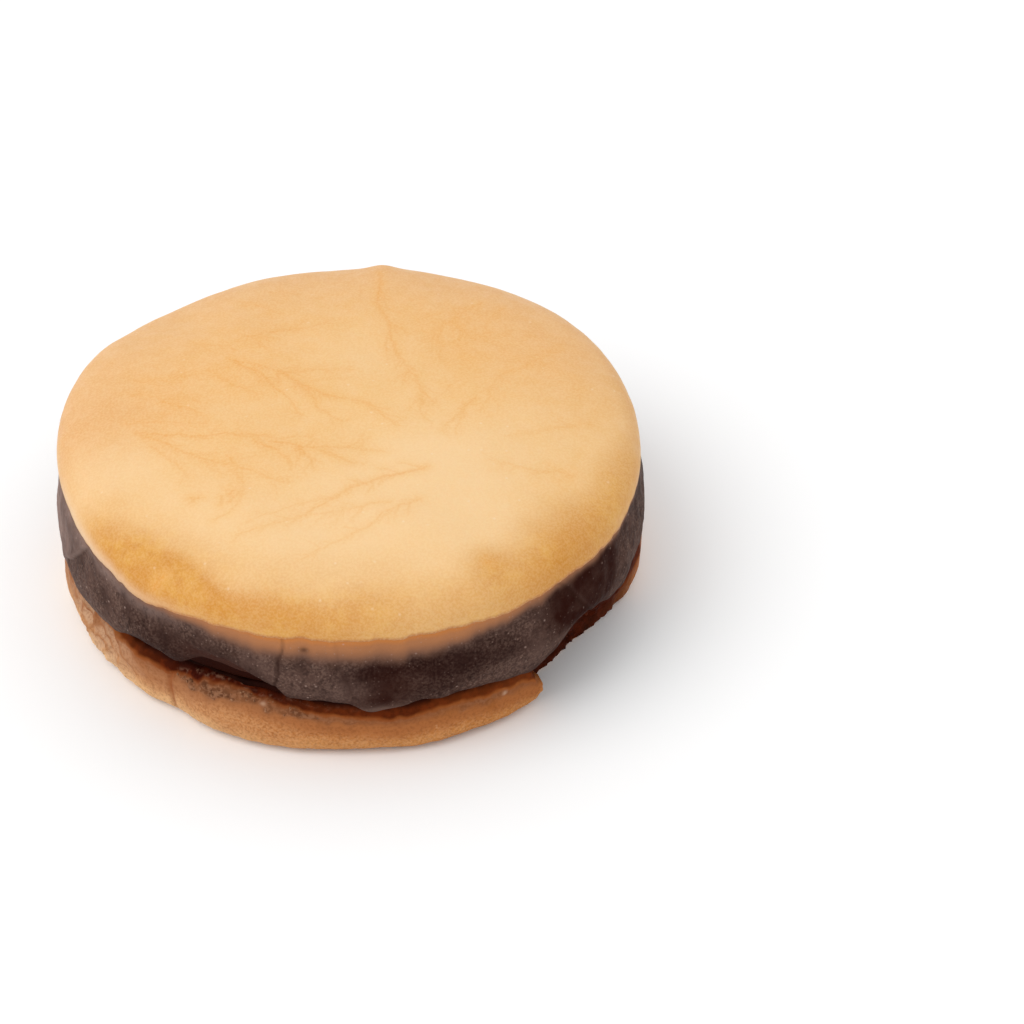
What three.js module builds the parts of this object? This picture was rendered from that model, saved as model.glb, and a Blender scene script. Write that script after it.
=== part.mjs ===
// Alfajor cookie: two soft biscuits with a dark filling between them, under a thin sugar glaze.
// Millimetres, +Z up, standing on its flat base. The angle runs from +X towards +Y, so that
// the front of the cookie is at -90 degrees.
// Each layer is one closed solid, made of rings: a profile is worked out for every angle.

import * as THREE from "three";

// Sizes of the whole
const LID_RADIUS = 31.8; // lip of the top biscuit
const BASE_RADIUS = 31.6; // wall of the bottom biscuit
const BAND_RADIUS = 32.05; // wall of the filling, at its fullest
const FOOT_RADIUS = 28.0; // flat underside that the cookie rests on

// Heights of the layers
const BASE_TOP = 7.6;
const FILLING_BOTTOM = 7.9;
const FILLING_TOP = 14.7;
const LID_BOTTOM = 15.0;
const LIP_HEIGHT = 16.45;
const DOME_RISE = 6.3; // from the lip to the crown
const DOME_POWER = 2.75; // over 2, so the crown is flatter than an ellipse and the shoulder rounder

// Filling
const DRIP_HEIGHT = 8.2; // lower edge of the band where nothing hangs or draws back
const FILLING_SHOULDER = 29.3; // how far out the filling lies flat on the biscuit
const BAND_CLEARANCE = 0.32; // between the hanging band and the biscuit's wall
const RIM_DROP = 0.6; // from the lip down to the band's rim, which wraps the lid's underside

// Waves of the outlines: [waves per turn, cosine part, sine part]
const LID_WAVES = [[1, -0.11, 0.13], [2, 0.01, -0.1], [3, -0.13, 0.11], [4, -0.19, -0.14]];
const BASE_WAVES = [[1, -0.14, 0.07], [2, 0.19, 0.03], [3, -0.16, 0.02], [4, 0.28, 0.06]];
const LIP_WAVES = [[3, 0.12, 0.1], [7, 0.08, -0.12], [11, -0.07, 0.06]];

// Local swells along the rim: [angle, width, size], degrees and millimetres
const LOWER_EDGE = [
  [-158, 5, -1.4], // the band hangs low
  [-129, 5, 1.5], // it draws back from the biscuit
  [-116, 4, 3.8], // highest recess
  [-107, 5, 1.2],
  [-83, 3.6, -1.4], // hanging drip
  [-71, 6, -0.7],
  [-55, 5, -1.3], // broad hanging drip
  [-40, 5, 2.6],
  [18, 9, -0.8],
  [62, 12, 1.3],
  [104, 6, -0.9],
  [148, 10, 0.9],
];
const LIP_RISES = [
  [-142, 8, 0.2],
  [-128, 4, -0.65],
  [-115, 6, -0.25],
  [-97, 3, 0.25],
  [-95, 30, -0.3],
  [-56, 4, -0.5],
  [-41, 5, 0.5],
];
const LID_SWELLS = [[157, 15, 0.95], [200, 9, -0.3]];
const BAND_SWELLS = [[176, 30, 0.15], [-38, 14, 0.25], [70, 30, 0.2]];
const FOLDS = [[-154, 2.2, -0.35], [-101, 1.6, -0.3], [-41, 1.8, -0.3], [55, 2.2, -0.3]];
const WALL_LUMPS = [
  [-138, 6, 0.25],
  [-126, 4, -0.2],
  [-112, 5, 0.25],
  [-88, 7, -0.15],
  [35, 9, 0.3],
  [120, 8, -0.3],
];

// Swells of the crown: [x, y, width, size]
const CROWN_SWELLS = [
  [3.5, 27.0, 3.2, 0.5],
  [-22.0, 18.0, 4.5, -0.9],
  [-9.0, -3.0, 8.0, 0.2],
  [11.0, 9.0, 7.0, -0.2],
  [12.0, -13.0, 7.0, 0.18],
];

// Broken edge of the bottom biscuit
const BREAK_START = -51.5;
const BREAK_END = -5.0;
const BREAK_TAPER = 27; // degrees over which the break runs out
const BREAK_DEPTH = 3.3;
const BREAK_RAGGED = 0.35;
const HOOK_REACH = 3.0; // degrees by which the foot of the wall runs on past the break
const HOOK_HEIGHT = 3.6;

const RING_SEGMENTS = 120;
const BREAK_SEGMENTS = 30; // extra ones across the broken edge

const radians = (a) => (a * Math.PI) / 180;

// Angle between a and b in degrees, from -180 to 180
function turn(a, b) {
  return ((((a - b) % 360) + 540) % 360) - 180;
}

function waves(list, angle) {
  const t = radians(angle);
  return list.reduce((sum, [k, c, s]) => sum + c * Math.cos(k * t) + s * Math.sin(k * t), 0);
}

function swells(list, angle) {
  return list.reduce((sum, [at, width, size]) => {
    const d = turn(angle, at) / width;
    return sum + size * Math.exp(-0.5 * d * d);
  }, 0);
}

function smooth(from, to, x) {
  const t = Math.min(1, Math.max(0, (x - from) / (to - from)));
  return t * t * (3 - 2 * t);
}

const lidRadius = (angle) => LID_RADIUS + waves(LID_WAVES, angle) + swells(LID_SWELLS, angle);
const lipHeight = (angle) => LIP_HEIGHT + waves(LIP_WAVES, angle) + swells(LIP_RISES, angle);
const wholeWall = (angle) => BASE_RADIUS + waves(BASE_WAVES, angle) + swells(WALL_LUMPS, angle);
const lowerEdge = (angle) => DRIP_HEIGHT + swells(LOWER_EDGE, angle);
const bandRadius = (angle) => BAND_RADIUS + waves(LID_WAVES, angle) + swells(BAND_SWELLS, angle);

// Depth of the broken edge at a height of the wall
function breakDepth(angle, height) {
  const start = BREAK_START + HOOK_REACH * (1 - smooth(HOOK_HEIGHT - 0.8, HOOK_HEIGHT + 0.8, height));
  const into = smooth(start, start + 2.4, angle) * (1 - smooth(BREAK_END - BREAK_TAPER, BREAK_END, angle));
  const ragged = BREAK_RAGGED * (Math.sin(angle * 1.9 + height) + Math.sin(angle * 3.1 - height));
  return into * (BREAK_DEPTH + ragged);
}

const wallRadius = (angle, height) => wholeWall(angle) - breakDepth(angle, height);

// Point of a dome's profile, from 0 at the lip to 1 at the crown
function domePoint(angle, share) {
  const t = (share * Math.PI) / 2;
  const across = Math.cos(t) ** (2 / DOME_POWER);
  const rise = Math.sin(t) ** (2 / DOME_POWER);
  return [lidRadius(angle) * across, rise];
}

function crownSwell(angle, radius) {
  const x = radius * Math.cos(radians(angle));
  const y = radius * Math.sin(radians(angle));
  return CROWN_SWELLS.reduce((sum, [cx, cy, width, size]) => {
    const d2 = ((x - cx) ** 2 + (y - cy) ** 2) / (width * width);
    return sum + size * Math.exp(-0.5 * d2);
  }, 0);
}

// Bottom biscuit: flat foot, rounded edge, wall, rounded shoulder, flat top
function baseProfile(angle) {
  const wall = (height) => wallRadius(angle, height);
  const foot = Math.min(FOOT_RADIUS, wall(0) - 0.5);
  return [
    [foot * 0.5, 0],
    [foot, 0],
    [foot + (wall(0.25) - foot) * 0.6, 0.2],
    [foot + (wall(0.8) - foot) * 0.87, 0.8],
    [wall(1.8) - 0.1, 1.8],
    [wall(3.0), 3.0],
    [wall(4.1), 4.1],
    [wall(5.1) - 0.08, 5.1],
    [wall(6.1) - 0.3, 6.1],
    [wall(6.9) - 0.8, 6.9],
    [wall(7.4) - 1.6, 7.4],
    [wall(BASE_TOP) - 2.7, BASE_TOP],
    [14, BASE_TOP],
  ];
}

// Filling: flat on the biscuit, then drawn back where its lower edge is high, or hanging past
// the biscuit's shoulder where it is low, bulging out to the wall of the band, and cupped
// round the lid's underside at the rim
function fillingProfile(angle) {
  const low = lowerEdge(angle);
  const full = bandRadius(angle);
  const fold = swells(FOLDS, angle);
  const lip = lidRadius(angle);
  const whole = wholeWall(angle);
  const hang = smooth(0, 1.4, FILLING_BOTTOM + 0.3 - low);
  const inner = FILLING_SHOULDER + (whole - 0.45 - FILLING_SHOULDER) * hang;
  const innerHeight = FILLING_BOTTOM - (FILLING_BOTTOM - 7.35) * hang;
  const recess = smooth(0.2, 2.2, low - FILLING_BOTTOM);
  const rim = lipHeight(angle) - RIM_DROP;
  const span = rim - low;
  return [
    [14, FILLING_BOTTOM],
    [FILLING_SHOULDER - 0.4, FILLING_BOTTOM],
    [inner, innerHeight + 0.02],
    [
      whole + BAND_CLEARANCE - 0.25 * recess - 0.28 * (1 - hang) * (1 - recess),
      low + 0.12 + 0.25 * hang,
    ],
    [full - 0.3 + fold * 0.3, low],
    [full + 0.12 + fold * 0.6, low + span * 0.09],
    [full + 0.34 + fold, low + span * 0.25],
    [full + 0.24 + fold, low + span * 0.45],
    [full - 0.02 + fold, low + span * 0.65],
    [full - 0.4 + fold * 0.6, low + span * 0.83],
    [lip - 0.5, rim - 0.15],
    [lip - 0.85, rim],
    [lip - 2, FILLING_TOP + 0.15],
    [lip - 4, FILLING_TOP],
    [14, FILLING_TOP],
  ];
}

// Top biscuit: flat underside, thin rounded lip, then a low dome
function lidProfile(angle) {
  const lip = lidRadius(angle);
  const height = lipHeight(angle);
  const rows = [
    [14, LID_BOTTOM],
    [lip - 3.9, LID_BOTTOM],
    [lip - 1.9, LID_BOTTOM + 0.17],
    [lip - 0.65, height - 0.3],
    [lip - 0.12, height - 0.2],
  ];
  const steps = 15;
  for (let i = 0; i < steps; i++) {
    const [radius, rise] = domePoint(angle, i / steps);
    const rim = LIP_HEIGHT + (height - LIP_HEIGHT) * (1 - rise);
    const swell = crownSwell(angle, radius) * smooth(0, 0.35, rise);
    rows.push([radius, rim + DOME_RISE * rise + swell]);
  }
  return rows;
}

// Angles of the rings, denser where the edge is broken
function ringAngles() {
  const plain = Array.from({ length: RING_SEGMENTS }, (_, i) => -180 + (i * 360) / RING_SEGMENTS);
  const from = BREAK_START - 4;
  const to = BREAK_END + 2;
  const fine = Array.from({ length: BREAK_SEGMENTS }, (_, i) => from + ((to - from) * i) / BREAK_SEGMENTS);
  return plain.filter((a) => a < from - 1.5 || a > to).concat(fine).sort((a, b) => a - b);
}

// Closed solid from the profiles of all the angles, with a pole at each end
function ringSolid(profile, angles, lowPole, highPole) {
  const points = [0, 0, lowPole];
  const rows = profile(angles[0]).length;
  const count = angles.length;
  angles.forEach((angle) => {
    profile(angle).forEach(([radius, height]) => {
      points.push(radius * Math.cos(radians(angle)), radius * Math.sin(radians(angle)), height);
    });
  });
  points.push(0, 0, highPole);
  const top = points.length / 3 - 1;
  const at = (i, j) => 1 + (i % count) * rows + j;
  const faces = [];
  for (let i = 0; i < count; i++) {
    faces.push(0, at(i + 1, 0), at(i, 0));
    faces.push(top, at(i, rows - 1), at(i + 1, rows - 1));
    for (let j = 0; j < rows - 1; j++) {
      faces.push(at(i, j), at(i + 1, j), at(i + 1, j + 1));
      faces.push(at(i, j), at(i + 1, j + 1), at(i, j + 1));
    }
  }
  const solid = new THREE.BufferGeometry();
  solid.setAttribute("position", new THREE.Float32BufferAttribute(points, 3));
  solid.setIndex(faces);
  solid.computeVertexNormals();
  return solid;
}

function layer(name, solid, color, roughness) {
  const mesh = new THREE.Mesh(solid, new THREE.MeshStandardMaterial({ color, roughness, metalness: 0 }));
  mesh.name = name;
  return mesh;
}

const even = Array.from({ length: RING_SEGMENTS }, (_, i) => -180 + (i * 360) / RING_SEGMENTS);
const crown = LIP_HEIGHT + DOME_RISE + crownSwell(0, 0);

const layers = [
  layer("bottom_biscuit", ringSolid(baseProfile, ringAngles(), 0, BASE_TOP), 0xb67a45, 0.55),
  layer("filling", ringSolid(fillingProfile, even, FILLING_BOTTOM, FILLING_TOP), 0x4a302b, 0.5),
  layer("top_biscuit", ringSolid(lidProfile, even, LID_BOTTOM, crown), 0xeebe80, 0.45),
];

// The origin is under the middle of the whole
const box = new THREE.Box3();
layers.forEach((mesh) => box.expandByObject(mesh));
const middle = box.getCenter(new THREE.Vector3());
layers.forEach((mesh) => mesh.geometry.translate(-middle.x, -middle.y, -box.min.z));

const cookie = new THREE.Group();
cookie.name = "alfajor_cookie";
cookie.add(...layers);

export default cookie;
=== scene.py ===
# %% [markdown]
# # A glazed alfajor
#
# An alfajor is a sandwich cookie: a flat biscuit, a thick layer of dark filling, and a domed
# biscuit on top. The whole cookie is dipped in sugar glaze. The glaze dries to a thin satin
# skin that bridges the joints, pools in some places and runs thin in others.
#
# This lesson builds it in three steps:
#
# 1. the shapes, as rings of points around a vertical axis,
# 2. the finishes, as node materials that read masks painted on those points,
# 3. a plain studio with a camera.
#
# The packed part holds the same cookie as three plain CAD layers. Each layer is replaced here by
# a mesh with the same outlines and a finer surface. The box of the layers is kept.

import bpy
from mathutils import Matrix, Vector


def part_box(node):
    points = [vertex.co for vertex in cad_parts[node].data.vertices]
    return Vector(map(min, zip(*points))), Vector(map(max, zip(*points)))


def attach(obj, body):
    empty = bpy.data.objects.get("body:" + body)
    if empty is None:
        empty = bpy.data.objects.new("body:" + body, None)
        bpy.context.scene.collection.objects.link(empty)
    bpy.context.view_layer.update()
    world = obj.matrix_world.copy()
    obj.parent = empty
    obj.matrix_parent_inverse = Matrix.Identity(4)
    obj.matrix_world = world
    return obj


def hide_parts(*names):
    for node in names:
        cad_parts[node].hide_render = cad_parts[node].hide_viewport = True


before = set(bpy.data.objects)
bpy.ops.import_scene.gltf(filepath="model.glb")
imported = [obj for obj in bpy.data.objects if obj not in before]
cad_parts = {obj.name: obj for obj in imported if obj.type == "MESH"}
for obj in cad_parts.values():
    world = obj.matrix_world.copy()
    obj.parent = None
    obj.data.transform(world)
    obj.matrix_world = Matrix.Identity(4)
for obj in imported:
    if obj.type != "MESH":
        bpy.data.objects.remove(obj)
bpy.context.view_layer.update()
print("CAD layers:", sorted(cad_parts))

# %% [markdown]
# ## Sizes
#
# Everything below is in millimetres until a mesh is made, because a cookie is easier to think
# about that way. The angle runs from the right (+X) to the back (+Y), so the front is at -90
# degrees. The sizes could be measured on the CAD layers. Here they are named numbers, the same
# that the layers were made from, because a name says what changes with the number.

# %% Sizes of the cookie
import math

import bpy
import numpy as np

MM = 0.001
LID_RADIUS = 31.8
BASE_RADIUS = 31.6
BAND_RADIUS = 32.05
FOOT_RADIUS = 28.0
INNER_RING = 14
BASE_TOP = 7.6
FILLING_BOTTOM = 7.9
FILLING_TOP = 14.7
LID_BOTTOM = 15.0
LIP_HEIGHT = 16.45
DOME_RISE = 6.3
DOME_POWER = 2.75
DRIP_HEIGHT = 8.2
FILLING_SHOULDER = 29.3
BAND_CLEARANCE = 0.32

print("height over all: %.1f mm" % (LIP_HEIGHT + DOME_RISE))

# %% [markdown]
# A dipped cookie is round, but never exactly. Its outlines are circles with two kinds of change:
# slow waves that go all the way round, and single swells at one angle. Both could be sculpted by
# hand. As short lists they are easy to repeat, and the layers can share them, so that the band
# follows the lid.

# %% Waves and swells of the outlines
# Waves: (waves per turn, cosine part, sine part). Swells: (angle, width in degrees, size).
LID_WAVES = [(1, -0.11, 0.13), (2, 0.01, -0.1), (3, -0.13, 0.11), (4, -0.19, -0.14)]
BASE_WAVES = [(1, -0.14, 0.07), (2, 0.19, 0.03), (3, -0.16, 0.02), (4, 0.28, 0.06)]
LIP_WAVES = [(3, 0.12, 0.1), (7, 0.08, -0.12), (11, -0.07, 0.06)]
LIP_RISES = [
    (-142, 8, 0.2), (-128, 4, -0.65), (-115, 6, -0.25), (-97, 3, 0.25), (-95, 30, -0.3),
    (-56, 4, -0.5), (-41, 5, 0.5),
]
LID_SWELLS = [(157, 15, 0.95), (200, 9, -0.3)]
BAND_SWELLS = [(176, 30, 0.15), (-38, 14, 0.25), (70, 30, 0.2)]
LOWER_EDGE = [
    (-158, 5, -1.4), (-129, 5, 1.45), (-115.5, 4.5, 1.65), (-107, 5, 1.2), (-83, 3.6, -1.4),
    (-71, 6, -0.7), (-55, 5, -1.3), (-38.5, 5.5, 1.6), (18, 9, -0.8), (62, 12, 1.3), (104, 6, -0.9),
    (148, 10, 0.9),
]
WALL_LUMPS = [
    (-138, 6, 0.25), (-126, 4, -0.2), (-112, 5, 0.25), (-88, 7, -0.15), (35, 9, 0.3),
    (120, 8, -0.3),
]
# Swells of the crown: (x, y, width, size).
CROWN_SWELLS = [
    (3.5, 27.0, 3.2, 0.4), (2.2, 30.2, 1.3, 0.5), (-22.0, 18.0, 4.5, -0.9), (-9.0, -3.0, 8.0, 0.2),
    (11.0, 9.0, 7.0, -0.2), (12.0, -13.0, 7.0, 0.18),
]
# The bottom biscuit is broken between these angles, and a hook of dough sticks out at the start.
BREAK_START, BREAK_END, BREAK_TAPER, BREAK_DEPTH = -51.5, -5.0, 27.0, 3.7
HOOK_REACH, HOOK_HEIGHT, HOOK_SPREAD = 3.4, 2.2, 1.9

print("drips and hollows of the filling:", len(LOWER_EDGE))

# %% [markdown]
# ## Small tools for the outlines
#
# `waves` bends a circle gently, `swells` pushes one spot of it in or out, `keyed` joins values
# that are known at a few angles, `smooth` fades between two states and `bell` is a soft peak.
# A curve drawn by hand could do the same for one layer. Functions are chosen, because with numpy
# each of them works on all the angles at once, and the masks use them again later.

# %% Waves, swells and fades
def waves(parts, angle):
    turn = np.radians(angle)
    return sum(c * np.cos(k * turn) + s * np.sin(k * turn) for k, c, s in parts)


def apart(a, b):
    """Angle from b to a in degrees, from -180 to 180."""
    return ((a - b) % 360 + 540) % 360 - 180


def swells(parts, angle):
    return sum(size * np.exp(-0.5 * (apart(angle, at) / width) ** 2) for at, width, size in parts)


def keyed(keys, angle):
    """keys: (angle, value) pairs, joined all the way round."""
    return np.interp(angle, [at for at, _ in keys], [value for _, value in keys], period=360)


def smooth(start, end, x):
    t = np.clip((x - start) / (end - start), 0, 1)
    return t * t * (3 - 2 * t)


def bell(distance, width):
    return np.exp(-((distance / width) ** 2))


print("lid radius at the front: %.2f mm" % (LID_RADIUS + waves(LID_WAVES, -90.0)))

# %% [markdown]
# Dough and glaze also have a finer, irregular relief. A Displace modifier with a noise texture
# could add it. `grain` is used instead, because the same bumps can then shift an edge, push a
# surface and paint a mask. It adds up many slow ripples that run in random directions. It is
# smooth, it has one typical size, and it joins up all the way round because it is worked out
# from the place of each point and not from its angle.

# %% Irregular relief
def grain(points, size, seed, ripples=28):
    """Smooth irregular values of about -1 to 1, with bumps of that size in millimetres."""
    rng = np.random.default_rng(seed)
    way = rng.normal(size=(ripples, 3))
    way /= np.linalg.norm(way, axis=1, keepdims=True)
    pitch = 2 * np.pi / (size * rng.uniform(0.75, 1.6, ripples))
    start = rng.uniform(0, 2 * np.pi, ripples)
    total = np.zeros(points.shape[:-1])
    for w, p, s in zip(way, pitch, start):
        total += np.cos(points @ (w * p) + s)
    return total / math.sqrt(ripples / 2) * 0.7


def crumble(points, size, seed):
    """Sharper relief for torn dough: ridges and pits of that size."""
    return 1 - 2 * np.abs(grain(points, size, seed)) + 0.5 * grain(points, size * 0.5, seed + 1)


test_points = np.random.default_rng(0).uniform(0, 50, (500, 3))
print("typical grain:", np.round(np.std(grain(test_points, 4, 1)), 2))

# %% [markdown]
# ## Outlines at every angle
#
# The lid's rim, the band of filling, its lower edge and the wall of the bottom biscuit each have
# an outline of their own, and the layers have to fit together. Each layer could be made alone
# and pushed into place. Here a few functions say where the edges are at any angle, so that a
# drip of one layer is known to its neighbour too. Each takes an array of angles.

# %% Edges of the layers
RIM_RADIUS = 31


def lid_radius(a):
    return LID_RADIUS + waves(LID_WAVES, a) + swells(LID_SWELLS, a)


def lip_height(a):
    return LIP_HEIGHT + waves(LIP_WAVES, a) + swells(LIP_RISES, a)


def around_rim(a, height):
    """Points on a circle near the rim, where grain can be read for an edge."""
    turn = np.radians(a)
    circle = [RIM_RADIUS * np.cos(turn), RIM_RADIUS * np.sin(turn)]
    return np.stack(circle + [np.full_like(turn, height)], -1)


def scallops(a):
    """Small steps of the lid's lower edge."""
    rim = around_rim(a, 16)
    return 0.12 * grain(rim, 3.4, 61) + 0.10 * grain(rim, 1.5, 62) + 0.03 * grain(rim, 0.6, 63)


def whole_wall(a):
    return BASE_RADIUS + waves(BASE_WAVES, a) + swells(WALL_LUMPS, a)


def lower_edge(a):
    return DRIP_HEIGHT + swells(LOWER_EDGE, a)


def band_radius(a):
    return BAND_RADIUS + waves(LID_WAVES, a) + swells(BAND_SWELLS, a)


def break_share(a, height):
    """How much of the bottom biscuit's wall is broken away, from 0 to 1."""
    start = BREAK_START + HOOK_REACH * bell(height - HOOK_HEIGHT, HOOK_SPREAD)
    return smooth(0, 2.4, a - start) * (1 - smooth(BREAK_END - BREAK_TAPER, BREAK_END, a))


print("lower edge of the filling at the front: %.2f mm" % lower_edge(-90.0))

# %% [markdown]
# ## From a profile to a surface
#
# A round thing is often made from one profile with the Screw modifier. This cookie has another
# profile at every angle, so its points are worked out one by one. A profile is a short list of
# (radius, height) points. `finer` draws a smooth curve through them. It uses slopes that never
# overshoot, so a flat underside stays flat next to a round edge. `ring_points` then turns the
# profiles of all the angles into points in space.

# %% Smooth curve through a profile
def finer(profile, steps):
    """profile: (angles, rows, 2). steps: how many pieces each of its segments becomes."""
    lengths = np.linalg.norm(np.diff(profile, axis=1), axis=2).mean(0)
    knots = np.concatenate([[0], np.cumsum(lengths)])
    gaps = np.diff(knots)
    slope = np.diff(profile, axis=1) / gaps[None, :, None]
    tangent = np.zeros_like(profile)
    before, after = slope[:, :-1], slope[:, 1:]
    w1 = (2 * gaps[1:] + gaps[:-1])[None, :, None]
    w2 = (gaps[1:] + 2 * gaps[:-1])[None, :, None]
    agree = before * after > 0
    safe_before = np.where(agree, before, 1)
    safe_after = np.where(agree, after, 1)
    tangent[:, 1:-1] = np.where(agree, (w1 + w2) / (w1 / safe_before + w2 / safe_after), 0)
    tangent[:, 0], tangent[:, -1] = slope[:, 0], slope[:, -1]
    rows = []
    for i, n in enumerate(steps):
        t = (np.arange(n) / n)[None, :, None]
        h00, h10 = 2 * t**3 - 3 * t**2 + 1, t**3 - 2 * t**2 + t
        h01, h11 = -2 * t**3 + 3 * t**2, t**3 - t**2
        rows.append(
            h00 * profile[:, i, None] + h10 * gaps[i] * tangent[:, i, None]
            + h01 * profile[:, i + 1, None] + h11 * gaps[i] * tangent[:, i + 1, None]
        )
    rows.append(profile[:, -1:])
    return np.concatenate(rows, axis=1)


corner = np.array([[[0.0, 0.0], [1.0, 0.0], [1.0, 1.0]]])
print("a corner of 3 points drawn with", finer(corner, [4, 4]).shape[1], "points")


# %% [markdown]
# Once the profiles are points, relief has to push them outwards. A mesh would know its own
# normals, but here the relief comes before the mesh. `outward` works them out from the
# neighbours of each point, and `pushed` moves the points along them. `by_angle` and
# `swell_column` write values that change with the angle as a column, which numpy then spreads
# over all the rows of a profile.

# %% Points in space and their outward directions
TURN_STEPS = 900
angles = -180 + np.arange(TURN_STEPS) * 360 / TURN_STEPS


def stack(rows):
    """Rows of (radius, height) as one array of profiles, one for each angle."""
    flat = np.zeros(TURN_STEPS)
    return np.stack([np.stack([r + flat, h + flat], -1) for r, h in rows], axis=1)


def ring_points(profile):
    turn = np.radians(angles)[:, None]
    r, h = profile[..., 0], profile[..., 1]
    return np.stack([r * np.cos(turn), r * np.sin(turn), h], axis=-1)


def outward(points):
    around = np.roll(points, -1, axis=0) - np.roll(points, 1, axis=0)
    along = np.gradient(points, axis=1)
    normal = np.cross(around, along)
    return normal / np.maximum(np.linalg.norm(normal, axis=2, keepdims=True), 1e-9)


def pushed(rings, relief):
    """The rings, moved outwards by the relief in millimetres."""
    return rings + outward(rings) * relief[..., None]


def by_angle(keys):
    """Values joined between the keys, as one column that spreads over the rows."""
    return keyed(keys, angles)[:, None]


def swell_column(parts):
    return swells(parts, angles)[:, None]


print("one step of the turn is %.1f degrees" % (360 / TURN_STEPS))

# %% [markdown]
# ## Marks on a wall
#
# Folds, creases and blotches could be painted on the wall by hand. They are easier to repeat and
# to move when they have a place in numbers. That place is counted on the wall as if it were
# unrolled: so many millimetres round the cookie, and so high. `unrolled` gives it, `to_path`
# is the distance to a line drawn there, and `blotches` adds soft round patches.

# %% Places, lines and patches on a wall
WALL_RADIUS = 32.0
MM_PER_DEGREE = math.radians(1) * WALL_RADIUS


def angle_of(points):
    return np.degrees(np.arctan2(points[..., 1], points[..., 0]))


def radius_of(points):
    return np.hypot(points[..., 0], points[..., 1])


def unrolled(points):
    return np.stack([angle_of(points) * MM_PER_DEGREE, points[..., 2]], -1)


def to_path(points, path):
    """Distance in millimetres to a line through (angle, height) waypoints."""
    place = unrolled(points)
    corners = np.array(path) * [MM_PER_DEGREE, 1]
    nearest = np.full(points.shape[:-1], np.inf)
    for a, b in zip(corners[:-1], corners[1:]):
        way = b - a
        share = np.clip(((place - a) @ way) / (way @ way), 0, 1)
        gap = np.linalg.norm(place - a - share[..., None] * way, axis=-1)
        nearest = np.minimum(nearest, gap)
    return nearest


def blotches(points, spots):
    """spots: (angle, height, half width, half height, strength), sizes in millimetres."""
    angle = angle_of(points)
    total = np.zeros(points.shape[:-1])
    for at, level, wide, high, strength in spots:
        across = apart(angle, at) * MM_PER_DEGREE / wide
        up = (points[..., 2] - level) / high
        total += strength * np.exp(-0.5 * (across**2 + up**2))
    return np.clip(total, 0, 1)


print("one degree of the wall is %.2f mm" % MM_PER_DEGREE)

# %% [markdown]
# ## Meshes
#
# The materials will need masks that say where the glaze is thick or the dough is stained. A mask
# could be an image on an unwrapped surface. Here it is a named attribute: one number for each
# point, which a material can read by name. That needs no unwrapping, and the points are close
# enough together to keep it sharp.

# %% A mesh with masks
def placed(name, data):
    """An object of that name in the scene."""
    thing = bpy.data.objects.new(name, data)
    bpy.context.scene.collection.objects.link(thing)
    return thing


def new_mesh(name, corners, faces, masks):
    """corners in metres. masks: name to one value for each corner."""
    mesh = bpy.data.meshes.new(name)
    mesh.from_pydata(corners.tolist(), [], faces)
    mesh.polygons.foreach_set("use_smooth", [True] * len(mesh.polygons))
    for label, values in masks.items():
        layer = mesh.attributes.new(label, "FLOAT", "POINT")
        layer.data.foreach_set("value", np.asarray(values, dtype=np.float32))
    print(f"{name}: {len(mesh.vertices)} points, {len(mesh.polygons)} faces")
    return placed(name, mesh)


print("meshes so far:", len(bpy.data.meshes))

# %% [markdown]
# Between two neighbouring profiles the points make a strip of four-sided faces, and at the axis
# a fan of triangles closes the surface. A hole could be left there, since nobody sees it. A
# closed surface is chosen, because it has a clear inside, which light below the skin needs.

# %% A closed mesh from rings
def quads_between(i, j, k, l, rows):
    """Faces from angle i to k and from row j to l."""
    corners = [i * rows + j, k * rows + j, k * rows + l, i * rows + l]
    return np.stack(corners, -1).reshape(-1, 4).tolist()


def ring_mesh(name, points, low_pole, high_pole, masks):
    """points in millimetres: (angles, rows, 3). masks: name to (angles, rows) values."""
    turns, rows = points.shape[:2]
    poles = np.array([[0, 0, low_pole], [0, 0, high_pole]])
    corners = np.concatenate([points.reshape(-1, 3), poles]) * MM + centre
    i, j = np.meshgrid(np.arange(turns), np.arange(rows - 1), indexing="ij")
    quads = quads_between(i, j, (i + 1) % turns, j + 1, rows)
    ring = np.arange(turns)
    after = (ring + 1) % turns
    low, high = np.full(turns, turns * rows), np.full(turns, turns * rows + 1)
    low_fan = np.stack([low, after * rows, ring * rows], -1).tolist()
    high_fan = np.stack([high, ring * rows + rows - 1, after * rows + rows - 1], -1).tolist()
    with_poles = {
        label: np.append(values.reshape(-1), [values[:, 0].mean(), values[:, -1].mean()])
        for label, values in masks.items()
    }
    return new_mesh(name, corners, quads + low_fan + high_fan, with_poles)


print("one row of a ring takes", TURN_STEPS, "faces")

# %% [markdown]
# ## The filling
#
# The filling is a thick disc of caramel that was squeezed outwards when the lid was pressed on.
# Its wall bulges, its lower edge hangs down over the biscuit in drips or draws back from it,
# and in a few places the skin has folded over itself. It could be a fluid simulation, but that
# would put the drips where it likes. A profile with a wandering lower edge puts each of them
# where it belongs. The filling is the first layer to be made, because its widest points also
# give the middle of the cookie.

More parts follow.
